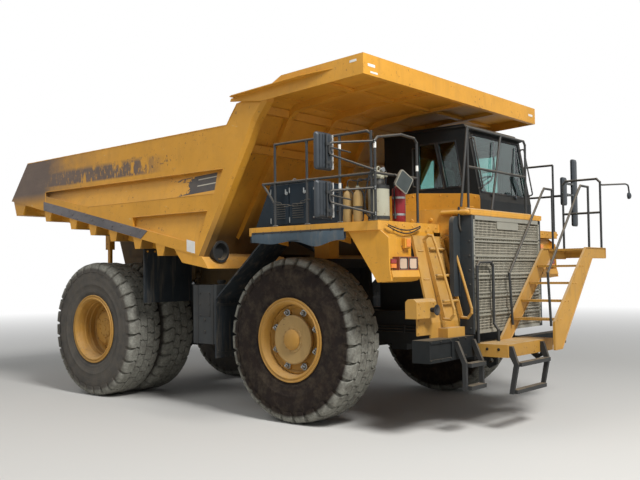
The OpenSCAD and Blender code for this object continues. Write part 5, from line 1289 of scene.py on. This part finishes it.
class TRUCK_OT_cab(bpy.types.Operator):
    """Adds the cab's window gaskets, gutter, roof ribs, lower panels, wipers, grab bars and visor"""
    bl_idname = "truck.cab"
    bl_label = "Cab fittings"

    def execute(self, context):
        seal, trim, yellow, black, bolts, arm = (bmesh.new() for _ in range(6))
        right, left = CAB_Y
        # Gaskets of the two right windows, the windscreen and the rear window
        for x0, x1, x2, x3 in ((680, 680, 1000, 1165), (1225, 1060, 1395, 1525)):
            gasket(seal, [(x0, right, 3670), (x1, right, 4425), (x2, right, 4425), (x3, right, 3670)], -Y)
        gasket(seal, [front(300, 3560), front(1960, 3560), front(1960, 4520), front(300, 4520)], FRONT_OUT)
        gasket(seal, [(-40, 410, 3700), (-40, 1850, 3700), (-40, 1850, 4400), (-40, 410, 4400)], -X)
        # Roof gutter, and a rolled visor over the windscreen
        for y, s in ((right, -1), (left, 1)):
            side_plate(trim, [(-45, 4640), (-45, 4662), (1600, 4662), (1606, 4640)], y, y + s * 16)
        block(trim, (-58, right - 14, 4640), (-40, left + 14, 4662))
        visor = ((4560, 0), (4600, 0), (4606, 50), (4580, 100), (4566, 100))
        loft(trim, [[front(y, z, lift) for z, lift in visor] for y in (250, 700, 1130, 1560, 2010)])
        # Roof ribs
        for y in (420, 780, 1140, 1500, 1860):
            side_plate(trim, [(40, 4698), (50, 4708), (1490, 4708), (1500, 4698)], y - 22, y + 22)
        # Yellow lower panels of both walls, bolted on, with the door's gap on the left
        nose = [(1640, 3540), (1832, 3500), (1846, 3440), (1846, 3200)]
        side_plate(yellow, [(-36, 3200), (-36, 3600), (600, 3612)] + nose, right - 9, right + 1)
        side_plate(yellow, [(-36, 3200), (-36, 3600), (490, 3611), (490, 3200)], left - 1, left + 9)
        side_plate(yellow, [(1314, 3200), (1314, 3562)] + nose, left - 1, left + 9)
        left_bolts = ((30, 3560), (440, 3560), (1360, 3520), (1780, 3450))
        right_bolts = ((40, 3560), (560, 3560), (1100, 3540), (1760, 3470))
        for y, way, row in ((left + 9, Y, left_bolts), (right - 9, -Y, right_bolts)):
            for x, z in row:
                hex_head(bolts, (x, y, z), way, 20, 11)
                hex_head(bolts, (x, y, 3250), way, 20, 11)
        # Two wipers with their arms, on pivots under the windscreen
        for y in (620, 1450):
            foot, tip = front(y, 3520, 16), front(y + 260, 4180, 40)
            turned(black, [(26, -12), (26, 20), (14, 26), (0, 26)], foot, FRONT_OUT, 18)
            pipe(black, [foot + FRONT_OUT * 14, foot.lerp(tip, 0.5) + FRONT_OUT * 30, tip], 7)
            low, high = front(y + 130, 3840, 14), front(y + 390, 4470, 14)
            middle = (low + high) / 2
            pipe(black, [low, middle + FRONT_OUT * 6, high], 8, 6)
            pipe(black, [low + FRONT_OUT * 12, middle + FRONT_OUT * 26, high + FRONT_OUT * 12], 4, 6)
        # Looped grab bars at both sides of the windscreen
        for y in (228, 2032):
            ends = [front(y, 3600), front(y, 3600, 75), front(y, 4440, 75), front(y, 4440)]
            pipe(arm, ends, 13, 10, 50)
            for p in (ends[0], ends[3]):
                turned(arm, [(13, 0), (28, 0), (28, 6), (13, 10)], p, FRONT_OUT, 16, True)
        # Grab bar up the middle of the right wall
        pipe(arm, [(600, right, 3720), (600, right - 70, 3720), (600, right - 70, 4380), (600, right, 4380)],
             13, 10, 50)
        # Aerial foot on the roof
        turned(black, [(50, 0), (50, 20), (35, 30), (35, 50), (0, 50)], (200, 1860, 4708), Z, 24)
        piece("cab_seals", seal, "fender_rubber", finish="hose_rubber")
        piece("cab_gutter_and_visor", trim, "cab_paint", edge=3)
        piece("cab_lower_panels", yellow, "yellow_paint", edge=3)
        piece("wipers", black, "mirror_housing")
        piece("cab_bolts", bolts, "yellow_paint")
        piece("cab_grab_bars", arm, "rail_paint")
        return {"FINISHED"}


class TRUCK_OT_door(bpy.types.Operator):
    """Adds the door's handle, latch, seal and pressed panel"""
    bl_idname = "truck.door"
    bl_label = "Door fittings"

    def execute(self, context):
        seal, black, panel = (bmesh.new() for _ in range(3))
        y = CAB_Y[1] + 2
        gasket(seal, [(650, y, 3700), (650, y, 4380), (1210, y, 4380), (1210, y, 3700)], Y, 26, 10)
        side_plate(panel, [(636, 3275), (636, 3604), (1284, 3562), (1284, 3275)], y - 1, y + 6)
        side_plate(panel, [(680, 3320), (680, 3560), (1130, 3532), (1130, 3320)], y + 5, y + 10)
        # Latch with its lever, and the upright handle
        block(black, (1150, y, 3628), (1230, y + 14, 3672))
        pipe(black, [(1165, y + 12, 3650), (1165, y + 34, 3650), (1225, y + 34, 3650)], 7, bend=12)
        pipe(black, [(1256, y, 3720), (1256, y + 45, 3720), (1256, y + 45, 4020), (1256, y, 4020)], 10,
             bend=30)
        piece("door_seal", seal, "fender_rubber", body="cab_door", finish="hose_rubber")
        piece("door_panel", panel, "cab_paint", body="cab_door", edge=4, finish="yellow_paint")
        piece("door_latch", black, "mirror_housing", body="cab_door")
        return {"FINISHED"}


class TRUCK_OT_seat(bpy.types.Operator):
    """Builds the operator's seat with its crowned cushions, the dashboard and the steering wheel"""
    bl_idname = "truck.seat"
    bl_label = "Seat, dashboard and steering wheel"

    def execute(self, context):
        trim, black = bmesh.new(), bmesh.new()
        mid = sum(CAB_Y) / 2
        # Suspension base with its bellows
        block(trim, (705, mid - 230, 3246), (1145, mid + 230, 3290))
        rings = []
        for k in range(9):
            s, z = (200 if k % 2 else 180), 3290 + k * 19
            corners = ((-s, -s), (s, -s), (s, s), (-s, s))
            rings.append([(925 + x, mid + y, z) for x, y in corners])
        loft(black, rings)
        block(trim, (715, mid - 235, 3440), (1140, mid + 235, 3482))
        # Armrests on their posts
        for s in (-1, 1):
            block(black, (760, mid + s * 234, 3560), (1080, mid + s * 258, 3610))
            pipe(trim, [(780, mid + s * 245, 3470), (780, mid + s * 245, 3570)], 12)
        # Dashboard: binnacle with a hood and four round dials
        rings = []
        for y in (-645, -300, 0, 300, 645):
            lift = 0 if abs(y) > 400 else 30
            rings.append([(x, mid + y, z) for x, z in ((1505, 3250), (1500, 3420), (1530, 3470 + lift),
                                                       (1640, 3508 + lift), (1752, 3508), (1770, 3440),
                                                       (1770, 3250))])
        loft(trim, rings)
        tilt = Vector((-0.31, 0, 0.95)).normalized()
        for y in (-170, -60, 60, 170):
            turned(black, [(45, 0), (45, 10), (38, 6), (0, 6)], (1585, mid + y, 3521), tilt, 24)
        # Column and wheel with three spokes
        foot, head = Vector((1500, mid, 3500)), Vector((1362, mid, 3776))
        pipe(black, [foot, head], 28, 14)
        axis = (head - foot).normalized()
        hub = Vector((1348, mid, 3804))
        up = Vector((axis.z, 0, -axis.x))
        pipe(black, circle(hub, Y, up, 210, 36), 16.5, 10, loop=True)
        turned(black, [(28, -30), (55, -8), (55, 10), (40, 18), (0, 18)], hub, axis, 24)
        for spoke in circle(Vector(), Y, up, 1, 3, 0.75):
            pipe(black, [hub + spoke * 40, hub + spoke * 200], 10)
        piece("seat_base_and_dashboard", trim, "cab_trim", ("cab_seat_and_wheel",), edge=4)
        piece("steering_wheel", black, "cab_trim", finish="mirror_housing")
        self.cushion("seat_cushion", (718, mid - 228, 3480), (1142, mid + 228, 3618), False)
        self.cushion("seat_back", (602, mid - 225, 3560), (738, mid + 225, 4105), True)
        self.cushion("seat_headrest", (612, mid - 130, 4110), (722, mid + 130, 4246), True)
        return {"FINISHED"}

    def cushion(self, name, lo, hi, upright):
        """A stuffed block whose broad faces are crowned between tucked seams."""
        bm = bmesh.new()
        lo, hi = Vector(lo), Vector(hi)
        half, mid = (hi - lo) / 2, (lo + hi) / 2
        along, across, depth = X * half.x, Y * half.y, Z * half.z
        if upright:
            along, across, depth = across, depth, along
        # Rings run round the cushion from one broad face's middle over its rim to the other
        steps = [(0.02, 1.0), (0.25, 0.985), (0.50, 0.95), (0.66, 0.90), (0.72, 0.86), (0.78, 0.87),
                 (0.90, 0.76), (0.97, 0.55), (1.0, 0.25), (0.992, 0.0), (1.0, -0.25), (0.97, -0.55),
                 (0.90, -0.76), (0.78, -0.87), (0.50, -0.95), (0.02, -1.0)]
        rings = []
        for reach, height in steps:
            ring = []
            for k in range(32):
                # A rounded square, as the power of a circle
                t = 2 * math.pi * k / 32
                u, v = (math.copysign(abs(c) ** 0.38, c) for c in (math.cos(t), math.sin(t)))
                ring.append(mid + (along * u + across * v) * reach + depth * height)
            rings.append(ring)
        loft(bm, rings)
        piece(name, bm, "cab_trim", angle=60, finish="seat_cloth")


# Dump bed

BED_Y = 2620


def bead(bm, points, radius=7):
    """A fillet weld bead, five-sided and slightly uneven, along points."""
    path = []
    points = [Vector(p) for p in points]
    for a, b in zip(points, points[1:]):
        steps = max(1, int((b - a).length / 120))
        path += [a.lerp(b, k / steps) for k in range(steps)]
    path.append(points[-1])
    rings = []
    for k, p in enumerate(path):
        ahead = (path[min(k + 1, len(path) - 1)] - path[max(k - 1, 0)]).normalized()
        side = ahead.orthogonal().normalized()
        rings.append(circle(p, side, ahead.cross(side), radius * (1.0 + 0.18 * math.sin(k * 2.4)), 5))
    loft(bm, rings)


def lower_edge(x):
    """Height of the bed side's lower edge."""
    return 3854 + (-7673 - x) * math.tan(math.radians(12.3))


class TRUCK_OT_bed_fittings(bpy.types.Operator):
    """Adds the bed's weld beads, duct flanges, ejector pins, sill bolts, flap clamps and reflectors"""
    bl_idname = "truck.bed_fittings"
    bl_label = "Bed welds and fittings"

    def execute(self, context):
        welds, trim, bolts, tape, flap = (bmesh.new() for _ in range(5))
        for s in (-1, 1):
            y = s * BED_Y
            # Beads along the ledges of the top band and the mid rail, and up the corner post
            bead(welds, [(-6360, y, 3952), (-1178, y, 3952)])
            bead(welds, [(-4897, y, 3568), (-1393, y, 3568)], 6)
            bead(welds, [(-3524, y, 3299), (-1558, y, 3299)])
            bead(welds, [(-6360, y, 3952), (-6360, y, 3690)], 6)
            bead(welds, [(-7040, y, 4588), (-1094, y, 4638), (-849, y, 4952)], 8)
            # Bolts along the sill, and larger ones where the bolsters meet it
            for x in (-5397, -4752, -4118):
                hex_head(bolts, (x, s * (BED_Y + 8), lower_edge(x) + 90), Y * s, 30, 14)
            for k in range(12):
                x = -6330 + k * 275
                z = lower_edge(x) + (150 if k % 2 else 40)
                hex_head(bolts, (x, s * (BED_Y + 8), z), Y * s, 26, 11)
            # Flange round the duct opening in the corner post's inner half, and the plate that closes it
            duct = (-1600, s * 2290, 2640)
            turned(flap, [(128, -100), (168, -100), (168, 0), (182, 0), (182, 12), (140, 12)], duct, X, 40,
                   True)
            turned(flap, [(150, -100), (150, -85), (0, -85)], duct, X, 40)
            # Clamp bars and bolts of the rubber flap
            z = lower_edge(-3400) - 192
            for x0, x1 in ((-3356, -3348), (-3386, -3380.5)):
                block(flap, (x0, s * 1400, z - 76), (x1, s * 2500, z - 12))
            for k in range(7):
                hex_head(bolts, (-3348, s * (1470 + k * 160), z - 44), X, 24, 12)
            # Pins of the rock ejectors, with their collars
            pin = (-5397, s * 1765, lower_edge(-5397) - 260)
            turned(trim, [(0, -100), (34, -100), (34, 100), (0, 100)], pin, X, 20)
            for a, b in ((-82, -64), (64, 82)):
                turned(trim, [(34, a), (52, a), (52, b), (34, b)], pin, X, 24, True)
            # Faded reflector before the corner post, and bare reflector strips at the canopy's corners
            side_plate(tape, [(-2070, 2655), (-2070, 2850), (-1865, 2806), (-1865, 2611)], s * 2620, s * 2622)
            side_plate(tape, [(1440, 5180), (1440, 5214), (1560, 5220), (1560, 5186)], s * 2665, s * 2667)
        for y0, y1, z0, z1 in ((-2560, -2390, 5118, 5158), (2390, 2560, 5118, 5158),
                               (-2500, -2330, 5030, 5058)):
            block(tape, (1674, y0, z0), (1676, y1, z1))
        # Beads where the canopy's sheet meets its ribs and fascia
        for y in (-1640, -550, 550, 1640):
            for e in (-57, 57):
                bead(welds, [(300, y + e, 5073), (1650, y + e, 5146)], 6)
        bead(welds, [(1653, -2640, 5142), (1653, 2640, 5142)])
        piece("bed_welds", welds, "bed_paint", body="dump_bed", angle=60, finish="yellow_paint")
        piece("bed_fittings", trim, "bed_paint", body="dump_bed", edge=2)
        piece("bed_bolts", bolts, "bed_paint", body="dump_bed")
        piece("bed_reflectors", tape, "lamp_lens", body="dump_bed", finish="reflector")
        piece("flap_clamps", flap, "frame_paint", body="dump_bed", edge=1)
        return {"FINISHED"}


# Fenders, hoses and running gear

class TRUCK_OT_fenders(bpy.types.Operator):
    """Hangs the wavy rubber strips under the deck edges, with their clamp bars, and bolts the mudguards"""
    bl_idname = "truck.fenders"
    bl_label = "Fender strips and mudguards"

    def execute(self, context):
        rubber, bars, bolts = (bmesh.new() for _ in range(3))
        for s in (-1, 1):
            # The strip bulges outwards and down between its clamps, most of all before its front end
            rings = []
            for k in range(61):
                t = k / 60
                x = -470 + 1790 * t
                sag = 100 + 34 * math.sin(2.2 * math.pi * t) ** 2 + 62 * math.exp(-((t - 0.74) / 0.16) ** 2)
                roll = 12 * math.sin(9 * t) + 20 * math.exp(-((t - 0.72) / 0.14) ** 2)
                low = 2674 + roll + 6 * math.sin(15 * t + 1)
                half_roll, half_sag = roll * 0.6, 2838 - sag * 0.3
                rings.append([(x, s * y, z) for y, z in (
                    (2691, 2888), (2699, 2888), (2704 + half_roll, half_sag), (low + 10, 2838 - sag),
                    (low, 2841 - sag), (2695 + half_roll, half_sag))])
            loft(rubber, rings)
            block(bars, (-465, s * 2698, 2862), (1318, s * 2704, 2888))
            for k in range(10):
                hex_head(bolts, (-410 + k * 188, s * 2704, 2875), Y * s, 22, 10)
            # Bolts, clamp bars and ribs of the raked mudguard and its hanging flap
            for y in (1760, 2030, 2300):
                for z in (1790, 1000):
                    hex_head(bolts, (-1660, s * y, z), X, 26, 12)
            for z in (1760, 960):
                block(bars, (-1660, s * 1705, z - 22), (-1652, s * 2345, z + 22))
            for y in (1800, 2250):
                side_plate(bars, [(-545, 2830), (-505, 2830), (-1650, 1862), (-1650, 1905)], s * y - 5,
                           s * y + 5)
        piece("fender_strips", rubber, "fender_rubber", angle=50, finish="strip_rubber")
        piece("fender_clamp_bars", bars, "frame_paint", edge=1)
        piece("fender_bolts", bolts, "frame_paint")
        return {"FINISHED"}


class TRUCK_OT_chassis_parts(bpy.types.Operator):
    """Adds the hoses, pipes, tank fittings, boots and axle covers of the chassis"""
    bl_idname = "truck.chassis_parts"
    bl_label = "Hoses, tank fittings and boots"

    def execute(self, context):
        hose, metal, dark = (bmesh.new() for _ in range(3))
        for s in (-1, 1):
            # Gaiter over each front strut, under its tower
            rings = [(145, 0)]
            for k in range(9):
                rings += [(118, 12 + k * 28), (140, 26 + k * 28)]
            turned(hose, rings + [(110, 272), (84, 276)], (0, s * 1450, 2000), Z, 28)
            # Brake and steering hoses from the rail to the axle end, drooping
            for k, (x, z) in enumerate(((-210, 1640), (-250, 1690), (-300, 1600))):
                pipe(hose, [(x, s * 622, z), (x - 30, s * 760, z - 20), (x - 60, s * 960, z - 240 - 30 * k),
                            (x + 20, s * 1060, z - 170), (-158 + 10 * k, s * 1040, 1106)], 17, bend=140)
            # Pipes clipped along the frame rail
            for k in range(3):
                z = 1300 + k * 46
                pipe(metal, [(-3000, s * 634, z), (1100, s * 634, z)], 12)
            for x in (-2700, -1300, -700, 300, 900):
                block(dark, (x - 18, s * 619, 1280), (x + 18, s * 652, 1412))
            # Rear brake line over the axle tube
            pipe(metal, [(-4700, s * 300, 1600), (-4700, s * 700, 1610), (-4810, s * 905, 1560)], 10, bend=60)
            # Bands at both ends of the rear cylinders
            for z in (1700, 1330):
                turned(dark, [(106, -20), (124, -20), (124, 20), (106, 20)], (-5350, s * 900, z), Z, 28, True)
        # Banjo cover of the rear axle with its bolts and the drain plug
        cover = Vector((-4950, 0, 1260))
        turned(dark, [(340, 300), (340, 360), (300, 400), (200, 452), (100, 474), (0, 478)], cover, -X, 48)
        bolt_ring(metal, cover - X * 352, -X, 318, 20, 24, 14)
        turned(metal, [(30, 430), (30, 487), (0, 487)], cover + Vector((0, 140, -80)), -X, 6)
        # Filler caps and straps of the two tanks
        for x, y, z, r in ((-1900, -2000, 2090, 75), (-2450, 1600, 1950, 85), (-2900, 1500, 1950, 50)):
            turned(metal, [(r * 0.7, -4), (r * 0.7, 30), (r, 30), (r, 70), (r * 0.85, 80), (0, 80)],
                   (x, y, z), Z, 28)
        for x in (-2180, -1800):
            block(dark, (x - 25, -2306, 1100), (x + 25, -2299, 2096))
            block(dark, (x - 25, -2306, 2089), (x + 25, -700, 2096))
        for x in (-2900, -2000):
            block(dark, (x - 25, 1949, 995), (x + 25, 1956, 1956))
            block(dark, (x - 25, 700, 1949), (x + 25, 1956, 1956))
        # Two sight glasses and the bolted cover plate on the right tank's outer face
        for z in (1500, 1300):
            turned(metal, [(28, 0), (28, 12), (18, 12), (0, 12)], (-2000, -2300, z), -Y, 20)
        block(dark, (-2120, -2306, 1560), (-1860, -2299, 1960))
        for x in (-2105, -1875):
            for z in (1580, 1760, 1940):
                hex_head(metal, (x, -2306, z), -Y, 20, 10)
        # Hoses that sag below the right deck's front edge, and the pipe beside the hood
        for k in range(2):
            sag = [(t, math.sin(math.pi * t)) for t in (i / 16 for i in range(17))]
            pipe(hose, [(1960 + 16 * s, -2560 + 820 * t, 2916 - 20 * k - (70 + 24 * k) * s) for t, s in sag],
                 9)
        pipe(hose, [(2230, -1129, 3196), (2262, -1180, 3160), (2262, -1185, 2940), (2262, -1142, 2860),
                    (2262, -1100, 2850)], 17, bend=50)
        # Round horn beside the curved box
        turned(hose, [(0, -60), (30, -60), (35, 0), (70, 35), (75, 45), (60, 45), (20, 20), (0, 20)],
               (2380, -2080, 1750), X, 28)
        # Bundle of hoses that climbs from the frame to the deck, inside the wheel's sweep
        for k in range(4):
            x = -700 - 34 * k
            pipe(hose, [(x, -640, 1500 + 30 * k), (x - 30, -690, 1900), (x - 30, -720, 2560 + 20 * k),
                        (x - 20 * k, -1350, 2842)], 21, bend=220)
        piece("chassis_hoses", hose, "fender_rubber", finish="hose_rubber")
        piece("chassis_pipes", metal, "stage_paint", finish="frame_paint")
        piece("chassis_covers", dark, "frame_paint", edge=1)
        return {"FINISHED"}


# Operators for the finishes and the stage

class TRUCK_OT_finishes(bpy.types.Operator):
    """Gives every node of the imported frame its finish"""
    bl_idname = "truck.finishes"
    bl_label = "Finishes of the frame"

    def execute(self, context):
        MATERIALS.update(make_materials(context.scene.truck_colours))
        # Nodes that are more worn than the rest of their slot, and the bed's underframe, whose yellow is
        # painted dark brown as painted shade
        worn = {"decks": "worn_yellow", "hood": "worn_yellow", "front_platform": "stair_yellow",
                "stairs": "stair_yellow", "ladder_right": "stair_yellow", "bed_underframe": "underbody"}
        for row in frame["record"]["subparts"]:
            finish = worn.get(row["node"], row["material_slot"])
            put_material(frame["nodes"][row["node"]], MATERIALS[finish])
        return {"FINISHED"}


def seen_directly(node):
    """A factor that is 1 where the camera, a gloss or a glass sees a surface."""
    rays = [node("LightPath", out=ray) for ray in ("Is Camera Ray", "Is Glossy Ray", "Is Transmission Ray")]
    return node("Math", node("Math", *rays[:2], operation="MAXIMUM"), rays[2], operation="MAXIMUM")


class TRUCK_OT_stage(bpy.types.Operator):
    """Adds the pale floor, the soft studio light and the camera at the photograph's angle"""
    bl_idname = "truck.stage"
    bl_label = "Floor, light and camera"

    def execute(self, context):
        self.add_floor(context)
        self.add_world(context)
        self.add_lamps(context)
        self.add_camera(context)
        return {"FINISHED"}

    def add_floor(self, context):
        mesh = bpy.data.meshes.new("studio_floor")
        r = 140.0
        mesh.from_pydata([(-r, -r, 0), (r, -r, 0), (r, r, 0), (-r, r, 0)], [], [(0, 1, 2, 3)])
        floor = bpy.data.objects.new("studio_floor", mesh)
        context.scene.collection.objects.link(floor)
        # The floor fades into the white surround 9 to 38 m out, so that no horizon shows
        material, shader, node, where = new_material("pale_studio_floor", Roughness=0.9,
                                                     Base_Color=context.scene.truck_colours.floor)
        far = node("MapRange", node("VectorMath", where, operation="LENGTH", out="Value"), 9.0, 38.0)
        share = node("Math", seen_directly(node), far, operation="MULTIPLY")
        white = node("Emission", (1, 1, 1), 1.0)
        both = node("MixShader", share, shader.outputs["BSDF"], white)
        fill(material.node_tree.nodes["Material Output"], Surface=both)
        put_material(floor, material)

    def add_world(self, context):
        world = bpy.data.worlds.new("studio")
        context.scene.world = world
        world.use_nodes = True
        world.node_tree.nodes.clear()
        node = partial(add_node, world.node_tree)
        # A dim bluish surround lights the truck. The camera, gloss and glass see white
        soft = node("Background", (0.90, 0.95, 1.0), 0.20)
        white = node("Background", (1, 1, 1), 1.0)
        both = node("MixShader", seen_directly(node), soft, white)
        node("OutputWorld", both, out=None)

    def add_lamps(self, context):
        for name, at, size, power in (("key", (18, -7.0, 18), 6, 5700), ("fill", (-5, -14, 14), 10, 620)):
            light = bpy.data.lights.new(name + "_softbox", "AREA")
            light.size = size
            light.energy = power
            lamp = bpy.data.objects.new(name + "_softbox", light)
            lamp.location = at
            lamp.rotation_euler = (Vector((0, 0, 2)) - Vector(at)).to_track_quat("-Z", "Y").to_euler()
            context.scene.collection.objects.link(lamp)

    def add_camera(self, context):
        # Place and aim found from the photograph, counted from the front axle
        pos = Vector((8.29557 + AXLE_X, -11.48917, 2.27254))
        az, el, roll = (math.radians(a) for a in (130.10625, 2.30302, -0.69778))
        ahead = Vector((math.cos(el) * math.cos(az), math.cos(el) * math.sin(az), math.sin(el)))
        side = Vector((math.sin(az), -math.cos(az), 0))
        up = side.cross(ahead)
        right = math.cos(roll) * side + math.sin(roll) * up
        top = -math.sin(roll) * side + math.cos(roll) * up
        camera = bpy.data.cameras.new("camera")
        camera.sensor_fit = "HORIZONTAL"
        camera.sensor_width = 36.0
        # 811 pixels of focal length on a 640 pixel wide image
        camera.lens = 811.0 * 36.0 / 640.0
        camera.clip_end = 400
        obj = bpy.data.objects.new("camera", camera)
        obj.matrix_world = Matrix((
            (right.x, top.x, -ahead.x, pos.x),
            (right.y, top.y, -ahead.y, pos.y),
            (right.z, top.z, -ahead.z, pos.z),
            (0, 0, 0, 1)))
        context.scene.collection.objects.link(obj)
        context.scene.camera = obj
        context.scene.view_settings.view_transform = "Standard"


OPERATORS = (TRUCK_OT_finishes, TRUCK_OT_tyres, TRUCK_OT_rims, TRUCK_OT_grille, TRUCK_OT_hood,
             TRUCK_OT_stairs, TRUCK_OT_platform, TRUCK_OT_ladder, TRUCK_OT_lamps, TRUCK_OT_decks,
             TRUCK_OT_rail_fittings, TRUCK_OT_mirrors, TRUCK_OT_deck_tanks, TRUCK_OT_cabinet, TRUCK_OT_cab,
             TRUCK_OT_door, TRUCK_OT_seat, TRUCK_OT_bed_fittings, TRUCK_OT_fenders, TRUCK_OT_chassis_parts,
             TRUCK_OT_stage)


class TRUCK_PT_panel(bpy.types.Panel):
    """Lists the steps that dress the truck"""
    bl_idname = "TRUCK_PT_panel"
    bl_label = "Dump Truck"
    bl_space_type = "VIEW_3D"
    bl_region_type = "UI"
    bl_category = "Dump Truck"

    def draw(self, context):
        for group in (context.scene.truck_colours, context.scene.truck_sizes):
            for name in group.__annotations__:
                self.layout.prop(group, name)
        for op in OPERATORS:
            self.layout.operator(op.bl_idname)


CLASSES = (TruckColours, TruckSizes) + OPERATORS + (TRUCK_PT_panel,)


def register():
    for cls in CLASSES:
        bpy.utils.register_class(cls)
    bpy.types.Scene.truck_colours = PointerProperty(type=TruckColours)
    bpy.types.Scene.truck_sizes = PointerProperty(type=TruckSizes)


def unregister():
    del bpy.types.Scene.truck_colours
    del bpy.types.Scene.truck_sizes
    for cls in reversed(CLASSES):
        bpy.utils.unregister_class(cls)


def main():
    register()
    for op in OPERATORS:
        group, name = op.bl_idname.split(".")
        getattr(getattr(bpy.ops, group), name)()


if __name__ == "__main__":
    main()
